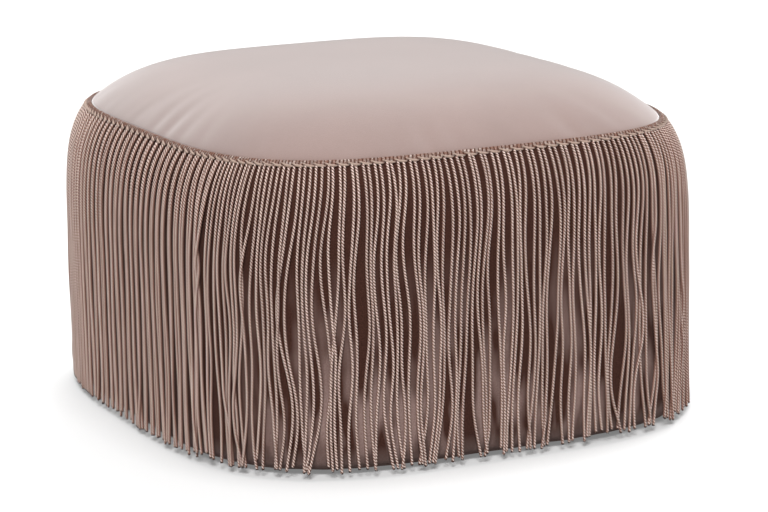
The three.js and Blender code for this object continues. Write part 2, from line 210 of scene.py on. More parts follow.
class TuffetStage(bpy.types.PropertyGroup):
    camera_azimuth: angle_property(
        "Camera azimuth", "Turn of the camera round the tuffet from the front", -25.39
    )
    camera_elevation: angle_property(
        "Camera elevation", "Height of the camera above the horizon", 12.32
    )
    camera_roll: angle_property(
        "Camera roll", "Turn of the camera about its own line of sight", -1.0
    )
    camera_distance: length_property(
        "Camera distance", "From the camera to the point that it looks at", 3.310
    )
    camera_lens: number_property("Lens", "Focal length in millimetres", 140.46)
    ambient: number_property("Ambient light", "Strength of the even light from all round", 0.05)
    key_strength: number_property(
        "Main light", "Strength of the light from the left of the front", 3.6
    )
    back_strength: number_property(
        "Back light", "Strength of the broad light from behind on the right", 2.1
    )
    top_strength: number_property(
        "Top light", "Strength of the very broad light from overhead", 1.1
    )


# Lines and surfaces


def bezier(outs, heights, samples=240):
    """Points of a cubic curve given by its four control points."""
    t = np.linspace(0, 1, samples)[:, None]
    a, b, c, d = np.stack([outs, heights], axis=-1)
    near = (1 - t) ** 3 * a + 3 * (1 - t) ** 2 * t * b
    return near + 3 * (1 - t) * t**2 * c + t**3 * d


class ProfileLine:
    """A line in the upright plane square to the outline, as distance out and height."""

    def __init__(self, points):
        self.points = np.asarray(points, float)
        steps = np.diff(self.points, axis=0)
        self.stops = np.concatenate([[0], np.cumsum(np.hypot(*steps.T))])
        self.length = self.stops[-1]

    def at(self, distance):
        """Points at a distance along the line."""
        spread = [np.interp(distance, self.stops, self.points[:, k]) for k in (0, 1)]
        return np.stack(spread, axis=-1)

    def beside(self, distance, away):
        """Points at a distance along the line and away from it, outwards."""
        step = self.length / 400
        distance = np.asarray(distance, float)
        after = self.at(np.minimum(distance + step, self.length))
        along = after - self.at(np.maximum(distance - step, 0))
        along /= np.linalg.norm(along, axis=-1, keepdims=True)
        outwards = np.stack([-along[..., 1], along[..., 0]], axis=-1)
        return self.at(distance) + outwards * np.asarray(away)[..., None]


class SeamOutline:
    """Plan outline of the top seam, by share of the way round from +X, anticlockwise."""

    def __init__(self, samples=9600):
        self.angles = np.linspace(0, 2 * math.pi, samples + 1)
        x, y = self.on_angle(self.angles)
        steps = np.hypot(np.diff(x), np.diff(y))
        stops = np.concatenate([[0], np.cumsum(steps)])
        self.length = stops[-1]
        self.shares = stops / self.length

    def on_angle(self, angle):
        """Points of the outline in the directions of these angles from its middle."""
        across = np.abs(np.cos(angle) / SEAM_HALF_WIDTH) ** PLAN_POWER
        along = np.abs(np.sin(angle) / SEAM_HALF_DEPTH) ** PLAN_POWER
        reach = (across + along) ** (-1 / PLAN_POWER)
        return reach * np.cos(angle), reach * np.sin(angle)

    def point_and_normal(self, share):
        """Points of the outline and the directions straight out from them, as x, y, nx, ny."""
        x, y = self.on_angle(np.interp(share % 1, self.shares, self.angles))
        power = PLAN_POWER - 1
        nx = np.sign(x) * np.abs(x / SEAM_HALF_WIDTH) ** power / SEAM_HALF_WIDTH
        ny = np.sign(y) * np.abs(y / SEAM_HALF_DEPTH) ** power / SEAM_HALF_DEPTH
        length = np.hypot(nx, ny)
        return x, y, nx / length, ny / length

    def world(self, share, out, height):
        """Points at a distance out from the seam and a height."""
        share, out, height = np.broadcast_arrays(share, out, height)
        x, y, nx, ny = self.point_and_normal(share)
        return np.stack([x + out * nx, y + out * ny, height], axis=-1)


OUTLINE = SeamOutline()
SHOULDER = ProfileLine(
    bezier(
        SIDE_BULGE * np.array(SHOULDER_OUT_SHARES),
        SEAM_HEIGHT - SHOULDER_DROP * np.array(SHOULDER_DOWN_SHARES),
    )
)
FOOT = bezier(
    SIDE_BULGE - FOOT_TUCK * np.array(FOOT_IN_SHARES),
    HEM_BOTTOM + FOOT_RISE * (1 - np.array(FOOT_DOWN_SHARES)),
)
SIDE = ProfileLine(np.concatenate([SHOULDER.points, FOOT]))


def wrapped(share):
    """The shorter way round, in shares of the outline."""
    return (share + 0.5) % 1 - 0.5


def smoothstep(value):
    """Goes smoothly from 0 to 1 as the value does, and stays there."""
    value = np.clip(value, 0, 1)
    return value * value * (3 - 2 * value)


# Soft puckers where the seat's velvet is drawn down to the seam. Those that show most stand at
# these shares of the outline, each with its depth against the usual one.
MAIN_PUCKERS = (
    (0.486, 1.0),
    (0.515, 1.6),
    (0.533, 2.4),
    (0.552, 1.5),
    (0.575, 0.9),
    (0.695, 1.3),
    (0.7135, 2.6),
    (0.731, 1.1),
    (0.801, 1.9),
    (0.835, 1.0),
    (0.905, 1.6),
    (0.944, 2.2),
    (0.982, 2.4),
    (0.021, 2.2),
    (0.060, 1.9),
)
PUCKER_SEED = 11
PUCKER_WIDTH = 0.0085
PUCKER_REACH = 0.052
PUCKER_SKEW = 0.12
PUCKER_START = 0.3  # share of its depth that a pucker has at the seam
PUCKER_GROWTH = 5.5
PUCKER_FADING = 3.6
PUCKER_WIDENING = 1.2


def pucker_list(sizes):
    """Rows of share, depth, width, reach and skew."""
    draw = np.random.default_rng(PUCKER_SEED)
    count = sizes.pucker_count
    rows = []
    for i in range(count):
        share = (i + draw.uniform(-0.3, 0.3)) / count
        depth = sizes.pucker_depth * (0.15 + 0.7 * draw.random() ** 2)
        width = PUCKER_WIDTH * draw.uniform(0.7, 1.3)
        reach = PUCKER_REACH * draw.uniform(0.6, 1.3)
        skew = PUCKER_SKEW * draw.uniform(-1, 1)
        near_main = min(abs(wrapped(share - main)) for main, _ in MAIN_PUCKERS)
        if near_main > 0.3 / count:
            rows.append((share, depth, width, reach, skew))
    for share, strength in MAIN_PUCKERS:
        width = PUCKER_WIDTH * draw.uniform(0.9, 1.3)
        reach = PUCKER_REACH * draw.uniform(1.1, 1.6)
        skew = PUCKER_SKEW * draw.uniform(-1, 1)
        rows.append((share, strength * sizes.pucker_depth, width, reach, skew))
    return rows


def pucker_field(rows, share, inward):
    """How far the velvet is drawn in at a share of the outline and a distance from the seam."""
    drawn = np.zeros(np.broadcast(share, inward).shape)
    for place, depth, width, reach, skew in rows:
        aside = wrapped(share - place) * OUTLINE.length + skew * inward
        far = inward / reach
        spread = width * (1 + PUCKER_WIDENING * far)
        along = (PUCKER_START + PUCKER_GROWTH * far) * np.exp(-PUCKER_FADING * far)
        drawn += depth * along * np.exp(-((aside / spread) ** 2))
    return drawn


SEAM_DIP = 0.0012  # the velvet rolls down into the seam behind the braid
SEAM_DIP_WIDTH = 0.0030
RIM_SHARE = 0.2  # of the way in from the seam, over which the seat's layers lean with the joint


def seat_surface(rows, shares, reaches, depth):
    """Points of the seat at a depth under its velvet, for each reach from the middle to the rim."""
    share, reach = np.meshgrid(shares, reaches)
    x, y, nx, ny = OUTLINE.point_and_normal(share)
    radius = np.hypot(x, y)
    inward = (1 - reach) * radius
    slope = CROWN_RISE * CROWN_POWER * reach ** (CROWN_POWER - 1) / radius
    steep = np.sqrt(1 + slope**2)
    drawn = pucker_field(rows, share, inward) + SEAM_DIP * np.exp(-inward / SEAM_DIP_WIDTH)
    height = SEAM_HEIGHT + CROWN_RISE * (1 - reach**CROWN_POWER) - depth
    lean = JOINT_SLOPE * depth + CLEARANCE / 2
    at_rim = smoothstep(1 - inward / (RIM_SHARE * radius))
    out = -drawn * slope / steep - lean * at_rim
    return np.stack([x * reach + out * nx, y * reach + out * ny, height - drawn / steep], -1)


SIDE_WAVE_SEED = 5
SIDE_WAVES = (23, 31, 44, 61)  # waves of each length that go round the tuffet


def side_wave(sizes, share):
    """Slow waves of the velvet side, in and out."""
    draw = np.random.default_rng(SIDE_WAVE_SEED)
    wave = 0
    for count in SIDE_WAVES:
        turn = draw.uniform(0, 2 * math.pi)
        wave = wave + np.sin(2 * math.pi * count * share + turn) / 2
    return sizes.side_ripple * wave


# Mesh helpers


def only(piece):
    """Leaves this piece as the one that operators act on."""
    bpy.ops.object.select_all(action="DESELECT")
    piece.select_set(True)
    bpy.context.view_layer.objects.active = piece


def placed(name, mesh):
    """A new object of the scene with this mesh, selected alone."""
    piece = bpy.data.objects.new(name, mesh)
    bpy.context.scene.collection.objects.link(piece)
    only(piece)
    return piece


def mesh_piece(name, points, faces):
    """A smooth piece of these points and faces."""
    mesh = bpy.data.meshes.new(name)
    mesh.from_pydata(np.asarray(points).reshape(-1, 3).tolist(), [], faces)
    mesh.update()
    piece = placed(name, mesh)
    bpy.ops.object.shade_smooth()
    return piece


def ring_faces(first, second, columns):
    """Quads between two rings of points, each given by the number of its first point."""
    faces = []
    for j in range(columns):
        across = (j + 1) % columns
        faces.append((first + j, second + j, second + across, first + across))
    return faces


def grid_faces(rows, columns):
    """Quads of a grid whose rows are rings, one after another."""
    faces = []
    for i in range(rows - 1):
        faces += ring_faces(i * columns, (i + 1) * columns, columns)
    return faces


def bar_faces(rows, columns):
    """Faces of a closed bar: a grid of rings, with a face over each end."""
    last = (rows - 1) * columns
    end = tuple(reversed(range(last, last + columns)))
    return [*grid_faces(rows, columns), tuple(range(columns)), end]


def dome_faces(rows, columns):
    """Quads of the rings with a fan of faces at the middle, which is the last point."""
    middle = rows * columns
    fan = [(middle, j, (j + 1) % columns) for j in range(columns)]
    return grid_faces(rows, columns) + fan


def swept_round(profile, loose, sizes, columns):
    """Points of a profile all round the outline, with the side's waves in its loose parts."""
    shares = np.arange(columns) / columns
    out = profile[:, :1] + loose[:, None] * side_wave(sizes, shares)
    return OUTLINE.world(shares, out, profile[:, 1:])


def apply_modifier(piece, kind, **settings):
    """Adds a modifier of this kind, with these settings, and applies it."""
    only(piece)
    bpy.ops.object.modifier_add(type=kind)
    modifier = piece.modifiers[-1]
    for name, value in settings.items():
        setattr(modifier, name, value)
    bpy.ops.object.modifier_apply(modifier=modifier.name)


def finish_piece(piece, material):
    """Gives a new piece its material and slot, and has it ride on the frame."""
    piece.data.materials.clear()
    piece.data.materials.append(material)
    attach(piece, "root")


def on_whole(piece, operator, **settings):
    """Runs an operator of edit mode on the whole of a piece."""
    only(piece)
    bpy.ops.object.mode_set(mode="EDIT")
    bpy.ops.mesh.select_all(action="SELECT")
    operator(**settings)
    bpy.ops.object.mode_set(mode="OBJECT")


def closed_piece(name, points, faces):
    """A smooth closed piece, its faces turned outwards."""
    piece = mesh_piece(name, points, faces)
    on_whole(piece, bpy.ops.mesh.normals_make_consistent, inside=False)
    return piece


def joined(copies, name):
    """One piece made of these copies."""
    only(copies[0])
    for copy in copies:
        copy.select_set(True)
    bpy.ops.object.join()
    piece = bpy.context.object
    piece.name = name
    piece.data.name = name
    return piece


# Materials


class Nodes:
    """A node tree, built node by node, each wired to the ones before it."""

    def __init__(self, tree):
        self.tree = tree

    def node(self, kind, inputs=(), **settings):
        """A new node with these settings, and a value or another node's socket at each input."""
        node = self.tree.nodes.new(kind)
        for name, value in settings.items():
            setattr(node, name, value)
        for name, value in dict(inputs).items():
            if isinstance(value, bpy.types.NodeSocket):
                self.tree.links.new(value, node.inputs[name])
            else:
                node.inputs[name].default_value = value
        return node

    def math(self, operation, a, b=0.0, c=0.0):
        inputs = {0: a, 1: b, 2: c}
        return self.node("ShaderNodeMath", inputs, operation=operation).outputs[0]

    def between(self, value, low, high, start=0.0, end=1.0):
        """The value spread from low..high to start..end, and held there."""
        inputs = {"Value": value, "From Min": low, "From Max": high, "To Min": start, "To Max": end}
        return self.node("ShaderNodeMapRange", inputs, clamp=True).outputs["Result"]

    def seen(self, *rays):
        """1 for what the camera sees, straight or by these kinds of ray, and 0 for all else."""
        path = self.node("ShaderNodeLightPath").outputs
        either = path["Is Camera Ray"]
        for ray in rays:
            either = self.math("MAXIMUM", either, path[ray])
        return either


class Finish(Nodes):
    """A material whose nodes read the piece's own place or its own map."""

    def __init__(self, name, colour, roughness):
        self.material = bpy.data.materials.new(name)
        self.material.use_nodes = True
        super().__init__(self.material.node_tree)
        self.shader = self.tree.nodes["Principled BSDF"]
        self.shader.inputs["Base Color"].default_value = (*colour, 1)
        self.shader.inputs["Roughness"].default_value = roughness
        self.material.diffuse_color = (*colour, 1)

    def place(self, stretch=(1, 1, 1)):
        """Object coordinates, stretched along the axes."""
        source = self.node("ShaderNodeTexCoord").outputs["Object"]
        mapping = self.node("ShaderNodeMapping", {"Vector": source, "Scale": stretch})
        return mapping.outputs["Vector"]

    def parts(self, vector=None):
        """X, Y and Z of a vector, or of the object coordinates."""
        if vector is None:
            vector = self.place()
        return self.node("ShaderNodeSeparateXYZ", {"Vector": vector}).outputs

    def map_parts(self, name):
        """X and Y of the piece's own map of this name."""
        return self.parts(self.node("ShaderNodeUVMap", uv_map=name).outputs["UV"])

    def attribute(self, name):
        return self.node("ShaderNodeAttribute", attribute_name=name).outputs["Fac"]

    def noise(self, scale, detail=2.0, stretch=(1, 1, 1), roughness=0.5):
        inputs = {
            "Vector": self.place(stretch),
            "Scale": scale,
            "Detail": detail,
            "Roughness": roughness,
        }
        return self.node("ShaderNodeTexNoise", inputs).outputs["Fac"]

    def cells(self, scale, stretch=(1, 1, 1), randomness=1.0):
        """Distance from the middle of the nearest cell."""
        inputs = {"Vector": self.place(stretch), "Scale": scale, "Randomness": randomness}
        return self.node("ShaderNodeTexVoronoi", inputs).outputs["Distance"]

    def waves(self, value, count):
        """Up from 0 to a half and back, so many times for each 1 of the value."""
        return self.math("PINGPONG", self.math("MULTIPLY", value, count), 0.5)

    def off_middle(self, value):
        """0 at each whole number and 1 half way between."""
        return self.math("MULTIPLY", self.math("PINGPONG", value, 0.5), 2.0)

    def mix(self, share, first, second):
        """The first colour, going over to the second as the share goes from 0 to 1."""
        node = self.node("ShaderNodeMix", {"Factor": share}, data_type="RGBA")
        sockets = [s for s in node.inputs if s.type == "RGBA"]
        for socket, value in zip(sockets, (first, second)):
            if isinstance(value, bpy.types.NodeSocket):
                self.tree.links.new(value, socket)
            else:
                socket.default_value = (*value, 1)
        return next(s for s in node.outputs if s.type == "RGBA")

    def colour(self, socket):
        self.tree.links.new(socket, self.shader.inputs["Base Color"])

    def rough(self, socket):
        self.tree.links.new(socket, self.shader.inputs["Roughness"])

    def bump(self, height, strength, distance):
        inputs = {"Height": height, "Strength": strength, "Distance": distance}
        bumped = self.node("ShaderNodeBump", inputs).outputs["Normal"]
        self.tree.links.new(bumped, self.shader.inputs["Normal"])

    def specular(self, level):
        self.shader.inputs["Specular IOR Level"].default_value = level

    def sheen(self, weight, roughness, tint):
        self.shader.inputs["Sheen Weight"].default_value = weight
        self.shader.inputs["Sheen Roughness"].default_value = roughness
        self.shader.inputs["Sheen Tint"].default_value = (*tint, 1)


def shade(colour, factor):
    """The colour made lighter or darker by a factor."""
    return tuple(min(1.0, channel * factor) for channel in colour)


def velvet_finish(colours):
    """Pile that is paler seen edge on, with lighter and darker patches and fine grain."""
    return pile_finish("velvet_pile", colours, 1.0, (1.0, 0.97, 0.965))


def side_velvet_finish(colours):
    """The same pile, given painted shade below the seam where the fringe hangs over it."""
    return pile_finish("velvet_side", colours, 0.08, (1.0, 0.85, 0.82))


def pile_finish(name, colours, sheen, tint):
    """Pile with patches above the seam, and painted shade below it but for its foot and some streaks.
    """
    base = tuple(colours.velvet)
    finish = Finish(name, base, 0.92)
    patches = finish.between(finish.noise(13.0, 7.0, roughness=0.68), 0.3, 0.7)
    pile = finish.mix(patches, shade(base, 0.93), shade(base, 1.06))
    spots = finish.parts()
    height = spots["Z"]
    # Painted shade for the fringe's shadow on the side below the seam: darkest up under the braid,
    # left out in paler streaks low on the front and back and along the foot.
    painted_shade = tuple(colours.velvet_painted_shade)
    streaks = finish.between(finish.noise(46.0, 2.0, (1, 1, 0.22)), 0.46, 0.62)
    long_side = finish.between(finish.math("ABSOLUTE", spots["Y"]), 0.22, 0.29)
    streaked = finish.math("MULTIPLY", streaks, long_side)
    low_side_shade = finish.mix(streaked, painted_shade, shade(base, 1.05))
    middle = finish.mix(finish.between(height, 0.07, 0.23), low_side_shade, painted_shade)
    side = finish.mix(finish.between(height, 0.008, 0.032), shade(base, 0.75), middle)
    at_side = finish.between(height, SEAM_HEIGHT - 0.002, SEAM_HEIGHT, 1.0, 0.0)
    # The seat's pile above the seam, and the side's painted shade below it.
    pile_and_side_shade = finish.mix(at_side, pile, side)
    grain = finish.noise(900.0, 2.0)
    speckle = finish.between(grain, 0.3, 0.7, 0.0, 0.5)
    # Below the seam, the grain's flecks are a paler painted shade.
    tips = finish.mix(at_side, shade(base, 0.80), shade(painted_shade, 3.0))
    finish.colour(finish.mix(speckle, pile_and_side_shade, tips))
    finish.bump(grain, 0.35, 0.0004)
    finish.sheen(sheen, 0.50, tint)
    finish.specular(0.05)
    return finish.material


CORD_MAP = "cord_map"  # u counts the plies round a cord, v is metres from its end
TONE = "cord_tone"
OUTER = "cord_outer"  # 1 on the side that faces away from the tuffet, -1 behind


def cord_finish(colours):
    """Twisted plies with painted shade: dark between them and down their sides, darker where a cord
    turns away, with pale tops that are partly a painted highlight, and dark at the cut end.
    """
    top = tuple(colours.cord_top)
    groove = tuple(colours.cord_groove_shade)
    finish = Finish("twisted_cord", top, 0.5)
    parts = finish.map_parts(CORD_MAP)
    hollow = finish.off_middle(parts["X"])
    wear = finish.between(finish.noise(60.0, 3.0), 0.3, 0.7, 0.0, 0.35)
    worn = finish.math("ADD", finish.attribute(TONE), wear)
    # The pale top colour is partly a painted highlight; its tone differs at random from cord to cord
    # and along each.
    light = finish.mix(worn, top, shade(top, 0.62))
    fuzz = finish.noise(1500.0, 2.0)
    yarn = finish.mix(finish.between(fuzz, 0.35, 0.65, 0.0, 0.4), light, shade(top, 0.55))
    # Painted shade: each cord is darkened where it turns from the front to the velvet behind it, and
    # its ply sides and the grooves between the plies are darker still.
    brown_and_shade = tuple(colours.cord_shade_and_band_brown)
    back_shade_mask = finish.between(finish.attribute(OUTER), 0.25, 0.92, 0.85, 0.0)
    turned = finish.mix(back_shade_mask, yarn, shade(brown_and_shade, 1.15))
    flank_shaded = finish.mix(finish.between(hollow, 0.36, 0.76), turned, shade(brown_and_shade, 0.85))
    plied = finish.mix(finish.between(hollow, 0.76, 1.0), flank_shaded, groove)
    cut = finish.between(parts["Y"], 0.0004, 0.0022)
    finish.colour(finish.mix(cut, shade(groove, 0.8), plied))
    finish.bump(fuzz, 0.4, 0.0004)
    finish.specular(0.15)
    return finish.material


BAND_MAP = "UVMap"  # on the band, u counts its ribs and v goes across it


def band_finish(colours):
    """Ribbed band: painted shade between the ribs, with the fine lines of its threads."""
    top = tuple(colours.cord_top)
    finish = Finish("ribbed_band", top, 0.75)
    parts = finish.map_parts(BAND_MAP)
    across = finish.off_middle(parts["X"])
    threads = finish.waves(parts["X"], 3.0)
    brown_and_shade = tuple(colours.cord_shade_and_band_brown)
    # Painted shade for the grooves between the ribs.
    dark = shade(brown_and_shade, 0.4)
    light = finish.mix(finish.math("MULTIPLY", threads, 0.8), shade(top, 0.27), brown_and_shade)
    flecks = finish.between(finish.noise(430.0, 3.0), 0.52, 0.64)
    flecked = finish.mix(flecks, light, shade(top, 0.58))
    patches = finish.between(finish.noise(220.0, 2.0), 0.40, 0.60, 0, 0.7)
    patchy = finish.mix(patches, flecked, brown_and_shade)
    uneven = finish.math("MULTIPLY_ADD", finish.noise(330.0, 2.0), 0.9, -0.45)
    risen = finish.math("ADD", across, uneven)
    finish.colour(finish.mix(finish.between(risen, 0.16, 0.56), dark, patchy))
    finish.bump(finish.math("MULTIPLY_ADD", threads, 0.5, across), 0.6, 0.0005)
    finish.specular(0.1)
    return finish.material


def link_finish(colours):
    """Stitched links of soft pale yarn, with strands along their length."""
    base = tuple(colours.link)
    finish = Finish("stitched_link", base, 0.7)
    parts = finish.map_parts(BAND_MAP)
    lines = finish.math("MULTIPLY_ADD", parts["X"], 9.0, finish.math("MULTIPLY", parts["Y"], 2.0))
    yarn = finish.math("PINGPONG", lines, 0.5)
    fuzz = finish.between(finish.noise(700.0, 2.0), 0.3, 0.7, 0.0, 0.3)
    lined = finish.mix(finish.math("MULTIPLY", yarn, 0.8), base, shade(base, 0.55))
    finish.colour(finish.mix(fuzz, lined, shade(base, 0.7)))
    finish.bump(yarn, 0.6, 0.0004)
    finish.specular(0.1)
    finish.sheen(0.15, 0.5, (1.0, 0.9, 0.85))
    return finish.material


def foam_finish(colours):
    """Open cells, yellowed in places."""
    base = tuple(colours.foam)
    finish = Finish("open_foam", base, 0.95)
    cells = finish.cells(620.0)
    aged = finish.between(finish.noise(7.0, 3.0), 0.35, 0.65)
    tint = finish.mix(aged, base, shade(base, 0.9))
    finish.colour(finish.mix(finish.between(cells, 0.1, 0.6), shade(base, 0.72), tint))
    finish.bump(cells, 0.5, 0.0006)
    return finish.material


def wadding_finish(colours):
    """Fibres that lie mostly one way, with loftier patches."""
    base = tuple(colours.wadding)
    finish = Finish("fibre_wadding", base, 1.0)
    fibres = finish.noise(160.0, 5.0, (1.0, 0.25, 1.0), 0.7)
    lofty = finish.between(finish.noise(24.0, 3.0), 0.3, 0.7)
    soft = finish.mix(lofty, base, shade(base, 0.93))
    finish.colour(finish.mix(finish.between(fibres, 0.35, 0.65, 0, 0.5), soft, shade(base, 0.84)))
    finish.bump(fibres, 0.5, 0.0012)
    return finish.material


def plywood_finish(colours):
    """Rotary veneer on the faces, and the thin layers that show along an edge."""
    base = tuple(colours.plywood)
    finish = Finish("plywood", base, 0.72)
    figure = finish.noise(14.0, 4.0, (0.25, 1.6, 1.0), 0.6)
    pores = finish.noise(260.0, 2.0, (0.08, 1.0, 1.0))
    face = finish.mix(finish.between(figure, 0.3, 0.7), shade(base, 0.82), shade(base, 1.1))
    grained = finish.mix(finish.between(pores, 0.5, 0.75, 0, 0.45), face, shade(base, 0.55))
    plies = finish.waves(finish.parts()["Z"], 380.0)
    layers = finish.mix(finish.between(plies, 0.2, 0.3), shade(base, 0.55), base)
    upright = finish.parts(finish.node("ShaderNodeNewGeometry").outputs["Normal"])["Z"]
    flat = finish.between(finish.math("ABSOLUTE", upright), 0.4, 0.6)
    finish.colour(finish.mix(flat, layers, grained))
    finish.bump(pores, 0.25, 0.0004)
    return finish.material


def pine_finish(colours):
    """Straight sawn grain with late wood lines."""
    base = tuple(colours.pine)
    finish = Finish("sawn_pine", base, 0.75)
    rings = finish.noise(55.0, 2.0, (1.0, 1.0, 0.06), 0.4)
    lines = finish.waves(rings, 9.0)
    late = finish.mix(finish.between(lines, 0.28, 0.5), shade(base, 1.05), shade(base, 0.66))
    saw = finish.noise(420.0, 2.0, (1.0, 1.0, 0.12))
    finish.colour(finish.mix(finish.between(saw, 0.5, 0.8, 0, 0.4), late, shade(base, 0.7)))
    finish.bump(saw, 0.3, 0.0005)
    return finish.material


def webbing_finish(colours):
    """Close plain weave: the threads of both ways, raised in turn."""
    base = tuple(colours.webbing)
    finish = Finish("woven_webbing", base, 0.85)
    spots = finish.parts()
    warp = finish.waves(spots["X"], 420.0)
    weft = finish.waves(spots["Y"], 420.0)
    weave = finish.math("MULTIPLY", warp, finish.math("MULTIPLY", weft, 4.0))
    worn = finish.between(finish.noise(35.0, 3.0), 0.35, 0.7, 0, 0.5)
    thread = finish.mix(weave, shade(base, 0.5), shade(base, 1.9))
    finish.colour(finish.mix(worn, thread, shade(base, 2.6)))
    finish.bump(weave, 0.7, 0.0005)
    return finish.material


def dust_cloth_finish(colours):
    """Pressed fibre cloth with a grid of small bonded dimples."""
    base = tuple(colours.dust_cloth)
    finish = Finish("bonded_cloth", base, 0.9)
    dimples = finish.cells(480.0, (1, 1, 0.01), 0.25)
    fibres = finish.noise(300.0, 4.0)
    pressed = finish.mix(finish.between(dimples, 0.15, 0.4), shade(base, 0.6), shade(base, 1.7))
    finish.colour(finish.mix(finish.between(fibres, 0.4, 0.7, 0, 0.6), pressed, shade(base, 3.0)))
    finish.bump(dimples, 0.5, 0.0004)
    return finish.material


def glide_finish(colours):
    """Moulded plastic, scuffed where it slides on the floor."""
    base = tuple(colours.glide)
    finish = Finish("moulded_glide", base, 0.45)
    low = finish.between(finish.parts()["Z"], 0.0, 0.0035, 1.0, 0.0)
    scratches = finish.noise(90.0, 4.0, (6.0, 0.5, 1.0))
    scuffed = finish.math("MULTIPLY", low, finish.between(scratches, 0.4, 0.65))
    finish.colour(finish.mix(scuffed, shade(base, 1.2), shade(base, 5.0)))
    finish.rough(finish.between(scuffed, 0.0, 1.0, 0.42, 0.75))
    finish.bump(finish.noise(1400.0, 1.0), 0.1, 0.0002)
    return finish.material


def steel_finish(colours):
    """Drawn and zinc plated wire."""
    base = tuple(colours.steel)
    finish = Finish("plated_steel", base, 0.38)
    finish.shader.inputs["Metallic"].default_value = 1.0
    spangle = finish.noise(500.0, 2.0)
    bright = finish.between(spangle, 0.35, 0.65)
    finish.colour(finish.mix(bright, shade(base, 0.85), shade(base, 1.1)))
    finish.rough(finish.between(finish.noise(900.0, 2.0, (1, 1, 0.2)), 0.3, 0.7, 0.3, 0.5))
    finish.bump(spangle, 0.1, 0.0001)
    return finish.material


def dress_node(node, material):
    """Gives a piece of the frame its material."""
    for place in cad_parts[node].material_slots:
        place.material = material


# Operators


class TUFFET_OT_carcass(bpy.types.Operator):
    """Give the boards, posts, glides and nails of the frame their materials"""

    bl_idname = "tuffet.carcass"
    bl_label = "Finish the carcass"
    bl_options = {"REGISTER", "UNDO"}

    def execute(self, context):
        colours = context.scene.tuffet_colours
        plywood = plywood_finish(colours)
        for node in ("base_board", "seat_ring", "side_panel"):
            dress_node(node, plywood)
        pine = pine_finish(colours)
        for place in ("front", "right", "back", "left", *CORNERS):
            dress_node("post_" + place, pine)
        glide = glide_finish(colours)
        steel = steel_finish(colours)
        for corner in CORNERS:
            dress_node("glide_" + corner, glide)
            dress_node("glide_nail_" + corner, steel)
        return {"FINISHED"}


STRAPS_EACH_WAY = 4
STRAP_STEPS = 72
STRAP_EDGE = 0.0006
FOLD_LENGTH = 0.028  # each end is turned back on itself before it is fixed
FOLD_STEPS = 6
TURN_ANGLES = np.linspace(-0.5, 0.5, 7)[1:-1] * math.pi


def strap_end(reach, height, thickness):
    """Points of an end, as distance along and height: round its turn, then back along its fold."""
    turn_out = reach + thickness / 2 * np.cos(TURN_ANGLES)
    turn_up = height + thickness / 2 + thickness / 2 * np.sin(TURN_ANGLES)
    fold_back = reach - np.linspace(0, FOLD_LENGTH, FOLD_STEPS)
    fold_up = np.full(FOLD_STEPS, height + thickness)
    turn = np.stack([turn_out, turn_up], -1)
    return np.concatenate([turn, np.stack([fold_back, fold_up], -1)])


def strap_section(half_width, half):
    """Section of a strap with its edges eased."""
    flat = half_width - STRAP_EDGE
    upper = ((-flat, half), (flat, half), (half_width, 0))
    lower = ((flat, -half), (-flat, -half), (-half_width, 0))
    return upper + lower


class TUFFET_OT_webbing(bpy.types.Operator):
    """Weave the seat's webbing, each strap with its ends turned back on themselves"""

    bl_idname = "tuffet.webbing"
    bl_label = "Weave the webbing"
    bl_options = {"REGISTER", "UNDO"}

    def execute(self, context):
        material = webbing_finish(context.scene.tuffet_colours)
        for row in range(STRAPS_EACH_WAY):
            self.strap("cross", "long", row, 0, material)
            self.strap("long", "cross", row, 1, material)
        return {"FINISHED"}

    def strap(self, way, other_way, row, over_first, material):
        """Weaves one strap over and under those that cross it."""
        node = f"strap_{way}_{row + 1}"
        low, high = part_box(node)
        axis = 0 if way == "cross" else 1
        half_width = (high[1 - axis] - low[1 - axis]) / 2
        middle = (high[1 - axis] + low[1 - axis]) / 2
        reach = high[axis]
        thickness = (high.z - low.z - CLEARANCE) / 2
        crossed = [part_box(f"strap_{other_way}_{i + 1}") for i in range(STRAPS_EACH_WAY)]
        crossings = sorted((start[axis] + end[axis]) / 2 for start, end in crossed)
        along = np.linspace(-reach, reach, STRAP_STEPS)
        lift = self.lift(along, crossings, half_width, row + over_first)
        height = low.z + thickness / 2 + lift * (thickness + CLEARANCE)
        first = strap_end(reach, height[0], thickness)[::-1] * (-1, 1)
        last = strap_end(reach, height[-1], thickness)
        line = np.concatenate([first, np.stack([along, height], -1), last])
        step = np.gradient(line, axis=0)
        step /= np.linalg.norm(step, axis=1, keepdims=True)
        square = np.stack([-step[:, 1], step[:, 0]], -1)
        section = strap_section(half_width, thickness / 2 - CLEARANCE / 4)
        points = []
        for place, up in zip(line, square):
            for aside, raised in section:
                spot = place + up * raised
                flat = (spot[0], middle + aside) if axis == 0 else (middle + aside, spot[0])
                points.append((*flat, spot[1]))
        faces = bar_faces(len(line), len(section))
        piece = closed_piece(f"webbing_{way}_{row + 1}", points, faces)
        finish_piece(piece, material)
        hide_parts(node)

    def lift(self, along, crossings, half_width, turn):
        """How far up the strap goes along its length: over every other strap that it crosses."""
        level_gap = (crossings[1] - crossings[0]) / 2 - half_width
        lift = np.zeros(len(along))
        for i, place in enumerate(crossings):
            if (i + turn) % 2 == 0:
                away = (np.abs(along - place) - half_width) / level_gap
                lift = np.maximum(lift, 1 - smoothstep(away))
        return lift


SEAT_COLUMNS = 360
PAD_COLUMNS = 120
SEAT_REACHES = np.concatenate(
    [np.linspace(0.06, 0.6, 12), np.linspace(0.63, 0.9, 14), np.linspace(0.912, 1.0, 16)]
)
WADDING_DEPTH = 0.0018
WADDING_THICKNESS = 0.008
FOAM_DEPTH = 0.0101
WRAP_STATIONS = 26


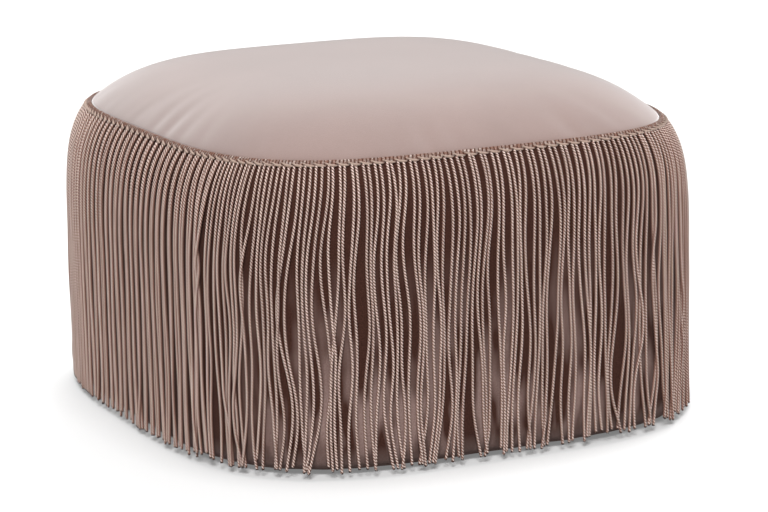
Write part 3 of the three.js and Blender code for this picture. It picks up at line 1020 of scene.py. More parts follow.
def seat_dome(rows, depth, columns):
    """Points of one level of the seat: rings from the middle out, then the middle itself."""
    shares = np.arange(columns) / columns
    rings = seat_surface(rows, shares, SEAT_REACHES, depth)
    middle = (0, 0, SEAM_HEIGHT + CROWN_RISE - depth)
    return np.concatenate([rings.reshape(-1, 3), [middle]])


class TUFFET_OT_padding(bpy.types.Operator):
    """Model the seat foam, its wadding and the foam wrapped round the side"""

    bl_idname = "tuffet.padding"
    bl_label = "Pad the carcass"
    bl_options = {"REGISTER", "UNDO"}

    def execute(self, context):
        sizes = context.scene.tuffet_sizes
        colours = context.scene.tuffet_colours
        foam = foam_finish(colours)
        wadding = wadding_finish(colours)
        puckers = pucker_list(sizes)
        points, faces = self.wadding(puckers)
        self.pad("wadding_layer", points, faces, wadding, "wadding", "seat_wadding", 0.7)
        points, faces = self.block(puckers)
        self.pad("seat_foam_block", points, faces, foam, "foam", "seat_foam", 1.0)
        points, faces = self.wrap(sizes)
        self.pad("side_foam_wrap", points, faces, foam, "foam", "side_foam", 1.0)
        return {"FINISHED"}

    def pad(self, name, points, faces, material, slot, node, fill):
        """Makes one padded piece, which stands in for a node of the frame."""
        piece = closed_piece(name, points, faces)
        finish_piece(piece, material)
        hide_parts(node)

    def wadding(self, puckers):
        """A layer under the seat's velvet, closed round its rim."""
        top = seat_dome(puckers, WADDING_DEPTH, PAD_COLUMNS)
        under = seat_dome(puckers, WADDING_DEPTH + WADDING_THICKNESS, PAD_COLUMNS)
        upper = dome_faces(len(SEAT_REACHES), PAD_COLUMNS)
        lower = [tuple(i + len(top) for i in reversed(face)) for face in upper]
        rim = (len(SEAT_REACHES) - 1) * PAD_COLUMNS
        edge = ring_faces(rim, rim + len(top), PAD_COLUMNS)
        return np.concatenate([top, under]), upper + lower + edge

    def block(self, puckers):
        """A block that is crowned as the seat is, and flat below."""
        top = seat_dome(puckers, FOAM_DEPTH, PAD_COLUMNS)
        shares = np.arange(PAD_COLUMNS) / PAD_COLUMNS
        lean = -JOINT_SLOPE * SEAT_FOAM_EDGE - CLEARANCE / 2
        edge = OUTLINE.world(shares, lean, SEAM_HEIGHT - SEAT_FOAM_EDGE)
        rim = (len(SEAT_REACHES) - 1) * PAD_COLUMNS
        faces = dome_faces(len(SEAT_REACHES), PAD_COLUMNS)
        faces += ring_faces(rim, len(top), PAD_COLUMNS)
        faces.append(tuple(range(len(top), len(top) + PAD_COLUMNS)))
        return np.concatenate([top, edge]), faces

    def wrap(self, sizes):
        """Foam wrapped round the side, bulging outside and straight against the panel inside."""
        stations = np.linspace(LANDING, SIDE.length, WRAP_STATIONS)
        outer = SIDE.beside(stations, np.full(WRAP_STATIONS, -WADDING_DEPTH))
        down = WADDING_DEPTH * math.sqrt(2)
        start = (-JOINT_SLOPE * down + CLEARANCE, SEAM_HEIGHT - down)
        wall = PANEL_OFFSET + CLEARANCE
        board_low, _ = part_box("base_board")
        inner = [(wall, board_low.z), (wall, SEAM_HEIGHT - SEAT_FOAM_EDGE)]
        profile = np.concatenate([[start], outer, inner])
        loose = np.concatenate([[0], np.ones(WRAP_STATIONS), [0, 0]])
        points = swept_round(profile, loose, sizes, PAD_COLUMNS)
        last = (len(profile) - 1) * PAD_COLUMNS
        faces = grid_faces(len(profile), PAD_COLUMNS) + ring_faces(last, 0, PAD_COLUMNS)
        return points, faces


class TUFFET_OT_seat_velvet(bpy.types.Operator):
    """Stretch the velvet over the crowned seat, with puckers where it meets the seam"""

    bl_idname = "tuffet.seat_velvet"
    bl_label = "Cover the seat"
    bl_options = {"REGISTER", "UNDO"}

    def execute(self, context):
        sizes = context.scene.tuffet_sizes
        puckers = pucker_list(sizes)
        points = seat_dome(puckers, 0.0, SEAT_COLUMNS)
        faces = dome_faces(len(SEAT_REACHES), SEAT_COLUMNS)
        piece = mesh_piece("seat_velvet", points, faces)
        apply_modifier(piece, "SOLIDIFY", thickness=sizes.velvet_thickness, offset=-1)
        finish_piece(piece, velvet_finish(context.scene.tuffet_colours))
        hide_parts("seat_cover")
        return {"FINISHED"}


SIDE_COLUMNS = 480
UPPER_STATIONS = np.linspace(0.0, 0.12, 16)
SIDE_STATIONS = np.concatenate([UPPER_STATIONS, np.linspace(0.15, SIDE.length, 20)])
HELD_WIDTH = 0.02  # how far below the seam the velvet is held still
LOOSENING = 0.05  # and over how much more of it the side's waves grow
HEM_STEPS = 5
HEM_LOOSE = 0.5  # share of the side's waves that is left in its hem


class TUFFET_OT_side_velvet(bpy.types.Operator):
    """Wrap the velvet side from the seam down to its hem under the base"""

    bl_idname = "tuffet.side_velvet"
    bl_label = "Cover the side"
    bl_options = {"REGISTER", "UNDO"}

    def execute(self, context):
        sizes = context.scene.tuffet_sizes
        outer = SIDE.at(SIDE_STATIONS)
        outer[0] = (CLEARANCE, SEAM_HEIGHT)
        hem_end = SIDE_BULGE - FOOT_TUCK - HEM_WIDTH
        hem = np.linspace(outer[-1, 0], hem_end, HEM_STEPS + 1)[1:]
        profile = np.concatenate([outer, np.stack([hem, np.full(HEM_STEPS, HEM_BOTTOM)], -1)])
        loose = smoothstep((SIDE_STATIONS - HELD_WIDTH) / LOOSENING)
        loose = np.concatenate([loose, np.full(HEM_STEPS, HEM_LOOSE)])
        points = swept_round(profile, loose, sizes, SIDE_COLUMNS)
        faces = [(d, a, b, c) for a, b, c, d in grid_faces(len(profile), SIDE_COLUMNS)]
        piece = mesh_piece("side_velvet", points, faces)
        apply_modifier(piece, "SOLIDIFY", thickness=sizes.velvet_thickness, offset=-1)
        finish_piece(piece, side_velvet_finish(context.scene.tuffet_colours))
        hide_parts("side_cover")
        return {"FINISHED"}


CLOTH_COLUMNS = 240
CLOTH_REACHES = np.linspace(0.08, 1, 24)
CLOTH_SEED = 23
CLOTH_SAG = 0.0012  # at its middle
CLOTH_SLACK = 0.0002  # between its staples
CLOTH_WAVES = (9, 14, 26)
SLACK_REACH = 0.93  # share of the way out where it is slackest
SLACK_WIDTH = 0.05
PRESSED_REACH = 0.017  # a glide presses it flat this far from its own middle
PRESSED_EDGE = 0.02
STAPLE_CROWN = 0.010
STAPLE_WIRE = 0.0007
STAPLE_LEG = 0.0009
STAPLE_INSET = 0.007


class TUFFET_OT_underside(bpy.types.Operator):
    """Close the base with a stapled dust cover"""

    bl_idname = "tuffet.underside"
    bl_label = "Close the underside"
    bl_options = {"REGISTER", "UNDO"}

    def execute(self, context):
        self.cloth(context.scene.tuffet_colours)
        self.staples(context.scene.tuffet_sizes)
        return {"FINISHED"}

    def cloth(self, colours):
        """Cloth that sags a little, a little slack near its edge and pressed flat by the glides."""
        shares = np.arange(CLOTH_COLUMNS) / CLOTH_COLUMNS
        share, reach = np.meshgrid(shares, CLOTH_REACHES)
        edge = OUTLINE.world(share, cloth_high.x - SEAM_HALF_WIDTH, 0.0)
        points = edge * reach[..., None]
        draw = np.random.default_rng(CLOTH_SEED)
        slack = np.zeros(share.shape)
        for count in CLOTH_WAVES:
            turn = draw.uniform(0, 6)
            slack += np.sin(2 * math.pi * count * share + turn) / len(CLOTH_WAVES)
        level = (cloth_low.z + cloth_high.z) / 2
        near_edge = np.exp(-(((reach - SLACK_REACH) / SLACK_WIDTH) ** 2))
        sag = CLOTH_SAG * (1 - reach**2) + CLOTH_SLACK * near_edge * (1 + slack)
        for corner in CORNERS:
            low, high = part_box("glide_" + corner)
            centre = (low + high) / 2
            away = np.hypot(points[..., 0] - centre.x, points[..., 1] - centre.y)
            sag *= smoothstep((away - PRESSED_REACH) / PRESSED_EDGE)
        points[..., 2] = level - sag
        points = np.concatenate([points.reshape(-1, 3), [(0, 0, level - CLOTH_SAG)]])
        faces = dome_faces(len(CLOTH_REACHES), CLOTH_COLUMNS)
        piece = mesh_piece("dust_cover_cloth", points, [tuple(reversed(face)) for face in faces])
        thickness = cloth_high.z - cloth_low.z - CLEARANCE
        apply_modifier(piece, "SOLIDIFY", thickness=thickness, offset=0)
        finish_piece(piece, dust_cloth_finish(colours))
        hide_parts("dust_cover")

    def staples(self, sizes):
        """Staples in line with the edge of the cloth, modelled once and copied."""
        staple = self.staple()
        reach = cloth_high.x - SEAM_HALF_WIDTH - STAPLE_INSET
        count = round((OUTLINE.length + 2 * math.pi * reach) / sizes.staple_spacing)
        level = cloth_low.z - STAPLE_WIRE / 2
        copies = []
        for i in range(count):
            x, y, nx, ny = OUTLINE.point_and_normal(np.float64((i + 0.5) / count))
            turn = Matrix.Rotation(math.atan2(ny, nx) + math.pi / 2, 4, "Z")
            mesh = staple.data.copy()
            mesh.transform(Matrix.Translation((x + reach * nx, y + reach * ny, level)) @ turn)
            copies.append(placed("staple", mesh))
        bpy.data.objects.remove(staple)
        piece = joined(copies, "dust_cover_staples")
        finish_piece(piece, bpy.data.materials["plated_steel"])

    def staple(self):
        """One staple: a bar with its two ends turned up into the cloth."""
        wire = STAPLE_WIRE
        bpy.ops.object.select_all(action="DESELECT")
        bpy.ops.mesh.primitive_cube_add(size=1)
        staple = bpy.context.object
        bpy.ops.transform.resize(value=(STAPLE_CROWN - 2 * wire, wire, wire))
        bpy.ops.object.transform_apply(location=True, rotation=True, scale=True)
        bpy.ops.object.mode_set(mode="EDIT")
        for end in (-1, 1):
            self.pick(staple, lambda face: face.normal.x * end > 0.9)
            bpy.ops.mesh.extrude_region_move(TRANSFORM_OT_translate={"value": (end * wire, 0, 0)})
        bar_end = STAPLE_CROWN / 2 - wire
        self.pick(
            staple,
            lambda face: face.normal.z > 0.9 and abs(face.calc_center_median().x) > bar_end,
        )
        bpy.ops.mesh.extrude_region_move(TRANSFORM_OT_translate={"value": (0, 0, STAPLE_LEG)})
        bpy.ops.mesh.select_all(action="SELECT")
        bpy.ops.mesh.bevel(offset=wire / 5, segments=1)
        bpy.ops.object.mode_set(mode="OBJECT")
        return staple

    def pick(self, piece, wanted):
        """Selects the faces of the piece in edit mode that are wanted."""
        bpy.ops.mesh.select_mode(type="FACE")
        bpy.ops.mesh.select_all(action="DESELECT")
        shape = bmesh.from_edit_mesh(piece.data)
        for face in shape.faces:
            face.select_set(bool(wanted(face)))
        bmesh.update_edit_mesh(piece.data)


# Braid and fringe

LANDING_START = np.array([CLEARANCE, SEAM_HEIGHT])
LANDING_END = SIDE.at(LANDING)
LANDING_ALONG = (LANDING_END - LANDING_START) / np.linalg.norm(LANDING_END - LANDING_START)
LANDING_OUT = np.array([-LANDING_ALONG[1], LANDING_ALONG[0]])
BRAID_WIDTH = 0.0086
BRAID_END_GAP = 0.0004
BAND_ACROSS = np.array([0.0, 0.0, 0.12, 0.36, 0.64, 0.88, 1.0, 1.0])  # shares of its width
BAND_EDGES = np.array([0.0, 0.45, 0.86, 1.0, 1.0, 0.86, 0.45, 0.0])  # and of its thickness there
RIB_STEPS = 8
RIB_SLANT = 0.22  # ribs that one rib leans over from edge to edge of the band
RIB_HEIGHT = 0.0012
RIB_FULLNESS = 0.6
FINE_LINE_DEPTH = 0.35  # of a rib's height
FINE_LINE_SHARPNESS = 12
LINK_DOWN = BRAID_WIDTH - 0.0017  # where the links' middle line runs on the slope
LINK_OUT = 0.0030
LINK_FLATNESS = 0.8
LINK_THIN_END = 0.70
LINK_OVERLAP = 1.16  # length of a link against the distance to the next
LINK_SEGMENTS = 8
LINK_RINGS = 7
LINK_FULL_FROM = 0.6  # share of its length by which it is at its fullest
LINK_LOW_FROM = 0.5  # and by which it has come down from the band
LINK_RISE = 0.0026  # how far up the band its thin end starts
LINK_LEAN = math.radians(7)
LINK_LIFT = math.radians(-4)


def on_landing(distance, height):
    """Points on the slope below the seam, as distance out and height."""
    distance = np.asarray(distance)[..., None]
    height = np.asarray(height)[..., None]
    return LANDING_START + LANDING_ALONG * distance + LANDING_OUT * height


def fringe_start(index):
    """Share of the outline where a length of the fringe starts."""
    return (index + 0.5) / SIDES


CORNER_EASE = 0.18  # how much closer together the trim's repeats lie round a corner
SIDE_EASE = 0.07  # how much more of that is taken up on the left and right than on the front
EASE_SHIFT = 0.010  # share of the outline by which the closest place lies past the corner


def eased(share):
    """Share of the outline for a share of the trim, which is eased round the corners."""
    turns = 2 * math.pi * SIDES
    ease = CORNER_EASE + SIDE_EASE * np.cos(turns / 2 * share)
    return share + ease / turns * np.sin(turns * (share - EASE_SHIFT))


class TUFFET_OT_braid(bpy.types.Operator):
    """Lay the braid round the top seam: a ribbed band and a row of stitched links"""

    bl_idname = "tuffet.braid"
    bl_label = "Lay the braid"
    bl_options = {"REGISTER", "UNDO"}

    def execute(self, context):
        sizes = context.scene.tuffet_sizes
        colours = context.scene.tuffet_colours
        materials = (band_finish(colours), link_finish(colours))
        link = self.link(sizes)
        for index, node in enumerate(FRINGE_NODES):
            start = fringe_start(index)
            pieces = [self.band(sizes, start)]
            for i in range(sizes.pairs_per_side):
                middle = eased(start + (i + 0.5) / sizes.pairs_per_side / SIDES)
                pieces.append(self.link_at(middle, link))
            for piece in pieces:
                for material in materials:
                    piece.data.materials.append(material)
            piece = joined(pieces, node + "_braid")
            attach(piece, "root")
            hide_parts(node)
        bpy.data.objects.remove(link)
        return {"FINISHED"}

    def band(self, sizes, start):
        """One length of ribbed band, its slanting ribs raised in the mesh."""
        ribs = sizes.ribs_per_side
        sections = ribs * RIB_STEPS + 1
        gap = BRAID_END_GAP / 2 / OUTLINE.length
        shares = eased(np.linspace(start + gap, start + 1 / SIDES - gap, sections))
        rib = np.linspace(0, ribs, sections)
        phase = rib[:, None] + RIB_SLANT * BAND_ACROSS
        lobe = np.abs(np.sin(math.pi * phase))
        raised = lobe**RIB_FULLNESS - FINE_LINE_DEPTH * lobe**FINE_LINE_SHARPNESS
        full = sizes.band_thickness - RIB_HEIGHT + RIB_HEIGHT * raised
        height = CLEARANCE + BAND_EDGES * full
        place = on_landing(np.broadcast_to(BAND_ACROSS * sizes.band_width, height.shape), height)
        points = OUTLINE.world(shares[:, None], place[..., 0], place[..., 1])
        columns = len(BAND_ACROSS)
        piece = mesh_piece("band", points, bar_faces(sections, columns))
        layer = piece.data.uv_layers.new(name=BAND_MAP)
        loops = np.zeros(len(piece.data.loops), np.int32)
        piece.data.loops.foreach_get("vertex_index", loops)
        spots = np.stack([phase.ravel()[loops], np.tile(BAND_ACROSS, sections)[loops]], -1)
        layer.data.foreach_set("uv", spots.astype(np.float32).ravel())
        on_whole(piece, bpy.ops.mesh.normals_make_consistent, inside=False)
        return piece

    def link(self, sizes):
        """A leaf of yarn: thin where it leaves the band, fuller as it runs along the lower edge."""
        length = LINK_OVERLAP * OUTLINE.length / SIDES / sizes.pairs_per_side
        width = sizes.link_width
        bpy.ops.object.select_all(action="DESELECT")
        bpy.ops.mesh.primitive_uv_sphere_add(
            segments=LINK_SEGMENTS, ring_count=LINK_RINGS, radius=0.5
        )
        link = bpy.context.object
        link.name = "link"
        bpy.ops.transform.rotate(value=math.pi / 2, orient_axis="Y", center_override=(0, 0, 0))
        bpy.ops.object.transform_apply(location=True, rotation=True, scale=True)
        bpy.ops.transform.resize(value=(length, width, width * LINK_FLATNESS))
        bpy.ops.object.transform_apply(location=True, rotation=True, scale=True)
        for vertex in link.data.vertices:
            far = 0.5 + vertex.co.x / length
            filled = float(smoothstep(far / LINK_FULL_FROM))
            fullness = LINK_THIN_END + (1 - LINK_THIN_END) * filled
            vertex.co.y *= fullness
            vertex.co.z *= fullness
            vertex.co.y -= LINK_RISE * (1 - float(smoothstep(far / LINK_LOW_FROM)))
        bpy.ops.object.shade_smooth()
        for polygon in link.data.polygons:
            polygon.material_index = 1
        return link

    def link_at(self, share, link):
        """A copy of the link at its place, leaning down as it runs along the braid."""
        x, y, nx, ny = OUTLINE.point_and_normal(np.float64(share))
        out, height = on_landing(LINK_DOWN, LINK_OUT)
        along = Vector((-ny, nx, 0))
        down = Vector((LANDING_ALONG[0] * nx, LANDING_ALONG[0] * ny, LANDING_ALONG[1]))
        off = Vector((LANDING_OUT[0] * nx, LANDING_OUT[0] * ny, LANDING_OUT[1]))
        axes = Matrix((along, down, off)).transposed().to_4x4()
        lean = Matrix.Rotation(LINK_LEAN, 4, "Z") @ Matrix.Rotation(LINK_LIFT, 4, "Y")
        mesh = link.data.copy()
        mesh.transform(Matrix.Translation((x + out * nx, y + out * ny, height)) @ axes @ lean)
        mesh.flip_normals()  # because these axes mirror it
        return placed("link_copy", mesh)


CORD_PLIES = 2
PLY_COLUMNS = 3  # lines of points to a ply: its back and its two flanks
CORD_COLUMNS = CORD_PLIES * PLY_COLUMNS
RING_TURN = 1 / 6  # share of a turn from one ring of points to the next
GROOVE_DEPTH = 0.32  # of the cord's radius
CUT_END = 0.85  # of the cord's radius, which is left at its lower end
CORD_SEED = 3
CORD_STATIONS = 44
LINE_SAMPLES = 160
ROOT_HEIGHT = 0.0016
ROOT_INSET = 0.0012  # a cord starts inside the braid
HANG_GAP = 0.0032
HANG_START = 0.06  # how far down a cord has come out to its hanging gap
STAND_OUT = 0.0019  # how far out from the velvet a cord strays
STAND_AT_TOP = 0.35  # share of that by the braid
STAND_START = 0.07  # how far down a cord strays by the whole of it
PAIR_STAGGER = 0.0018  # how far one cord of a pair hangs in front of the other
STAGGER_START = 0.02  # how far down it does
PAIR_HALF_GAP = 0.0026  # between the middle lines of a pair, halved
GAP_SPREAD = 0.3  # how far that differs from pair to pair
CALM_PART = (0.40, 0.60)  # along this part of the outline the cords hang straighter
CALM_CLOSER = 0.33  # how much closer a pair is there
CALM_FLATTER = 0.6  # how much less cords stand in front of one another there
CALM_STILLER = 0.58  # how much less they stray there
SWEPT_PART = (0.60, 0.90)  # and along this part they are swept back along the front
SWEEP = 0.0068
SWEEP_START = 0.010
SWEEP_LENGTH = 0.095
SWEEP_RIPPLE = 0.12  # of the sweep, by which it sways on its way down
RIPPLE_LENGTH = 0.0255
PART_EDGE = 0.05  # share of the outline over which such a part sets in
END_RISE = 0.0012  # how far short of the frame's strands the longest cord ends
END_SPREAD = 0.55  # usual difference of an end, in shares of the ragged ends' size
TONE_SPREAD = 0.55
TONE_POWER = 1.5  # above 1, so that few cords are much darker
REGIONS = (20, 73)  # stretches of the outline whose cords stray together, broad and near
STRAY_SHARES = (0.15, 0.38, 0.46, 0.46)  # of broad and near regions, pairs and single cords
REGION_KNOTS = 5  # random values that make up a course along a cord
PAIR_KNOTS = 6
CORD_KNOTS = 7
STRAY_START = 0.08  # how far down a cord strays freely
STRAY_AT_TOP = 0.6  # of its stray at its lower end
SPLAY_START = 0.23  # how far down the cords' ends start to spread
SPLAY_LENGTH = 0.08
SPLAY_SHARE = 0.30
SPLAY_POWER = 1.5
PARTING_ROUNDS = 110
PARTING_TOP = 1 / 6  # share of a cord's length, in which the braid holds it back
PARTING_NEIGHBOURS = (1, 2, 3, 4, 5)
PARTING_NEED = 0.92  # of the cord's diameter, from middle line to middle line
PARTING_PUSH = 0.55  # share of an overlap that one round takes up
PARTING_RETURN = 0.02  # share of the way back to its own course that a cord goes in a round
PARTING_SETTLING = 0.985  # of its distance from the velvet, which it keeps in a round
PARTING_SMOOTHING = 0.2


def cord_line():
    """Middle line of a cord that hangs straight, from the braid down to the floor."""
    along = np.linspace(BRAID_WIDTH - ROOT_INSET, SHOULDER.length, LINE_SAMPLES)
    away = ROOT_HEIGHT + (HANG_GAP - ROOT_HEIGHT) * smoothstep(along / HANG_START)
    upper = SHOULDER.beside(along, away)
    lower = [(SIDE_BULGE + HANG_GAP, 0.0)]
    return ProfileLine(np.concatenate([upper, lower]))


def inside(share, part):
    """1 inside a part of the outline, going softly to 0 at its ends."""
    share = share % 1
    since = smoothstep((share - part[0]) / PART_EDGE + 0.5)
    until = smoothstep((part[1] - share) / PART_EDGE + 0.5)
    return since * until


def wave_between(values, place):
    """Values at a place between whole numbers, joined by smooth curves, row by row."""
    last = values.shape[1] - 1
    first = np.clip(place.astype(int), 0, last - 1)
    t = place - first
    spots = [np.clip(first + step, 0, last) for step in (-1, 0, 1, 2)]
    a, b, c, d = (np.take_along_axis(values, spot, axis=1) for spot in spots)
    bend = (2 * a - 5 * b + 4 * c - d) * t**2 + (3 * b - a - 3 * c + d) * t**3
    return b + 0.5 * ((c - a) * t + bend)


def random_lines(draw, rows, knots, stations):
    """Smooth random lines, one a row, with a new value at each knot."""
    values = draw.normal(0, 1, (rows, knots))
    place = np.linspace(0, knots - 1, stations)[None, :].repeat(rows, axis=0)
    return wave_between(values, place)


def regional_lines(draw, shares, regions, knots, stations):
    """Random lines that neighbours share, changing slowly round the outline."""
    lines = random_lines(draw, regions, knots, stations)
    place = shares * regions
    left = np.floor(place).astype(int)
    blend = smoothstep(place - left)[:, None]
    return lines[left % regions] * (1 - blend) + lines[(left + 1) % regions] * blend


def wander(sizes, shares, distance):
    """How far each cord strays along the outline at each distance down it, in metres."""
    draw = np.random.default_rng(CORD_SEED)
    count = len(shares)
    stations = len(distance)
    broad, near = (
        regional_lines(draw, shares, regions, REGION_KNOTS, stations) for regions in REGIONS
    )
    pairs = random_lines(draw, count // 2, PAIR_KNOTS, stations).repeat(2, axis=0)
    alone = random_lines(draw, count, CORD_KNOTS, stations)
    stray = sum(share * lines for share, lines in zip(STRAY_SHARES, (broad, near, pairs, alone)))
    lower = STRAY_AT_TOP + (1 - STRAY_AT_TOP) * distance / distance[-1]
    grown = smoothstep(distance / STRAY_START) * lower
    spread = np.clip((distance - SPLAY_START) / SPLAY_LENGTH, 0, 1) ** SPLAY_POWER
    splay = SPLAY_SHARE * draw.normal(0, 1, (count, 1)) * spread
    lively = 1 - CALM_STILLER * inside(shares, CALM_PART)
    total = sizes.cord_wander * lively[:, None] * (stray * grown + splay)
    swept = smoothstep((distance - SWEEP_START) / SWEEP_LENGTH)
    swept -= SWEEP_RIPPLE * np.sin(distance / RIPPLE_LENGTH)
    return total - SWEEP * inside(shares, SWEPT_PART)[:, None] * swept


def part_cords(sizes, shares, aside, stand):
    """Moves cords that would run through each other apart, sideways and outwards."""
    need = PARTING_NEED * sizes.cord_diameter
    length = OUTLINE.length
    home = shares[:, None] * length
    wanted = home + aside
    place = wanted.copy()
    root = smoothstep(np.linspace(0, 1 / PARTING_TOP, place.shape[1]))[None, :]
    for _ in range(PARTING_ROUNDS):
        push_aside = np.zeros_like(place)
        push_out = np.zeros_like(place)
        for lag in PARTING_NEIGHBOURS:
            gap = np.roll(place, -lag, axis=0) - place
            gap[-lag:] += length
            rise = np.roll(stand, -lag, axis=0) - stand
            distance = np.hypot(gap, rise) + 1e-9  # never nothing, as it divides below
            short = np.clip(need - distance, 0, None) / 2
            push = short * gap / distance
            lift = short * rise / distance
            push_aside += np.roll(push, lag, axis=0) - push
            push_out += np.roll(lift, lag, axis=0) - lift
        place = place + PARTING_PUSH * push_aside * root + PARTING_RETURN * (wanted - place)
        stand = np.clip(stand + PARTING_PUSH * push_out * root, 0, None) * PARTING_SETTLING
        for lines in (place, stand):
            bend = lines[:, :-2] + lines[:, 2:] - 2 * lines[:, 1:-1]
            lines[:, 1:-1] += PARTING_SMOOTHING * bend
        place[:, 0] = home[:, 0]
    return place / length, stand


class TUFFET_OT_fringe(bpy.types.Operator):
    """Hang the twisted cords of the fringe below the braid"""

    bl_idname = "tuffet.fringe"
    bl_label = "Hang the fringe"
    bl_options = {"REGISTER", "UNDO"}

    def execute(self, context):
        sizes = context.scene.tuffet_sizes
        material = cord_finish(context.scene.tuffet_colours)
        line = cord_line()
        longest = line.length - min(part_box(node)[0].z for node in FRINGE_NODES)
        distance = np.linspace(0, longest, CORD_STATIONS)
        pairs = SIDES * sizes.pairs_per_side
        pair = np.repeat(np.arange(pairs), 2)
        draw = np.random.default_rng(CORD_SEED + 1)
        half_gap = PAIR_HALF_GAP * (1 + GAP_SPREAD * draw.uniform(-1, 1, pairs)[pair])
        middles = eased(fringe_start(0) + (pair + 0.5) / pairs)
        calm = inside(middles, CALM_PART)
        half_gap *= 1 - CALM_CLOSER * calm
        shares = middles + np.tile([-1, 1], pairs) * half_gap / OUTLINE.length
        flatter = 1 - CALM_FLATTER * calm
        stand = np.abs(random_lines(draw, len(shares), CORD_KNOTS, CORD_STATIONS)) * STAND_OUT
        grown = STAND_AT_TOP + (1 - STAND_AT_TOP) * smoothstep(distance / STAND_START)
        stand = stand * grown * flatter[:, None]
        behind = PAIR_STAGGER * np.tile([0, 1], pairs) * flatter
        stand += behind[:, None] * smoothstep(distance / STAGGER_START)
        place, stand = part_cords(sizes, shares, wander(sizes, shares, distance), stand)
        raised = np.abs(draw.normal(0, END_SPREAD, len(shares))) * sizes.ragged_end
        ends = longest - END_RISE - raised
        tones = TONE_SPREAD * draw.random(len(shares)) ** TONE_POWER
        twists = draw.random(len(shares))
        for index, node in enumerate(FRINGE_NODES):
            mine = np.flatnonzero(pair // sizes.pairs_per_side == index)
            for part, some in enumerate(np.split(mine, [len(mine) // 4 * 2])):
                name = f"{node}_cords_{part + 1}"
                courses = [values[some] for values in (place, stand, ends, tones, twists)]
                piece = self.cords(name, sizes, line, *courses)
                finish_piece(piece, material)
                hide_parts(node)
        return {"FINISHED"}

    def cords(self, name, sizes, line, place, stand, ends, tones, twists):
        """Cords as one mesh: tubes whose lines of points wind round them as the plies do."""
        rings = round(ends.max() / (sizes.cord_lay * RING_TURN)) + 1
        down = np.linspace(0, 1, rings)[None, :] * ends[:, None]
        station = down / ends.max() * (CORD_STATIONS - 1)
        share = wave_between(place, station)
        out = line.at(down)
        reach = out[..., 0] + wave_between(stand, station)
        middle = OUTLINE.world(share, reach, out[..., 1])
        along = np.gradient(middle, axis=1)
        along /= np.linalg.norm(along, axis=2, keepdims=True)
        _, _, nx, ny = OUTLINE.point_and_normal(share)
        outwards = np.stack([nx, ny, np.zeros_like(nx)], -1)
        beside = np.cross(outwards, along)
        beside /= np.linalg.norm(beside, axis=2, keepdims=True)
        front = np.cross(along, beside)
        column = np.arange(CORD_COLUMNS)
        turn = column[None, :] / CORD_COLUMNS + RING_TURN * np.arange(rings)[:, None]
        turn = 2 * math.pi * (turn[None] + twists[:, None, None])
        facing = np.cos(turn)
        spread = front[:, :, None] * facing[..., None]
        spread += beside[:, :, None] * np.sin(turn)[..., None]
        radius = sizes.cord_diameter / 2 * np.where(column % PLY_COLUMNS, 1 - GROOVE_DEPTH, 1)
        narrow = np.ones(rings)
        narrow[-1] = CUT_END
        points = middle[:, :, None] + spread * radius[:, None] * narrow[:, None, None]
        return tube_piece(name, points, ends[:, None] - down, tones, facing)


def tube_piece(name, points, left, tones, outer):
    """One mesh of closed tubes from points by tube, ring and column."""
    tubes, rings, columns = points.shape[:3]
    index = np.arange(tubes * rings * columns).reshape(tubes, rings, columns)
    after = np.roll(index, -1, axis=2)
    quads = np.stack([after[:, :-1], after[:, 1:], index[:, 1:], index[:, :-1]], -1)
    starts = index[:, 0, ::-1].reshape(-1)
    finishes = index[:, -1].reshape(-1)
    corners = np.concatenate([quads.reshape(-1), starts, finishes])
    counts = np.concatenate([np.full(quads.size // 4, 4), np.full(2 * tubes, columns)])
    mesh = bpy.data.meshes.new(name)
    mesh.vertices.add(index.size)
    mesh.vertices.foreach_set("co", points.astype(np.float32).ravel())
    mesh.loops.add(len(corners))
    mesh.loops.foreach_set("vertex_index", corners.astype(np.int32))
    mesh.polygons.add(len(counts))
    mesh.polygons.foreach_set("loop_start", (np.cumsum(counts) - counts).astype(np.int32))
    mesh.update(calc_edges=True)
    mesh.validate()
    ply = np.arange(columns) / PLY_COLUMNS
    u = np.broadcast_to(ply, (tubes, rings - 1, columns))
    high = np.broadcast_to(left[:, :-1, None], u.shape)
    low = np.broadcast_to(left[:, 1:, None], u.shape)
    next_u = u + 1 / PLY_COLUMNS
    walls = np.stack([next_u, high, next_u, low, u, low, u, high], -1)
    roots = np.stack([np.zeros(tubes * columns), left[:, 0].repeat(columns)], -1)
    tips = np.zeros((tubes * columns, 2))
    layer = mesh.uv_layers.new(name=CORD_MAP)
    layer.data.foreach_set(
        "uv", np.concatenate([walls.ravel(), roots.ravel(), tips.ravel()]).astype(np.float32)
    )
    tone = mesh.attributes.new(TONE, "FLOAT", "POINT")
    tone.data.foreach_set("value", tones.repeat(rings * columns).astype(np.float32))
    facing = mesh.attributes.new(OUTER, "FLOAT", "POINT")
    facing.data.foreach_set("value", outer.astype(np.float32).ravel())
    piece = placed(name, mesh)
    bpy.ops.object.shade_smooth()
    return piece


# Stage

AIM = Vector((0.01305, -0.00620, 0.15185))  # the point that the camera looks at
SENSOR_WIDTH = 36.0  # in millimetres, as the lens is
FAR_CLIP = 60
WHITE = (1, 1, 1, 1)
FLOOR_SIZE = 14
FLOOR_GREY = 0.55  # how pale the seen floor is, beside its own glow
SHADOW_REACH = 0.10  # how near a thing darkens that glow
LAMPS = (  # name, the value of its strength, its spread in degrees and the place it shines from
    ("main_light", "key_strength", 20, (-1.15, -2.15, 2.10)),
    ("back_light", "back_strength", 50, (1.70, 1.40, 2.00)),
    ("top_light", "top_strength", 70, (0.30, 0.50, 3.00)),
)


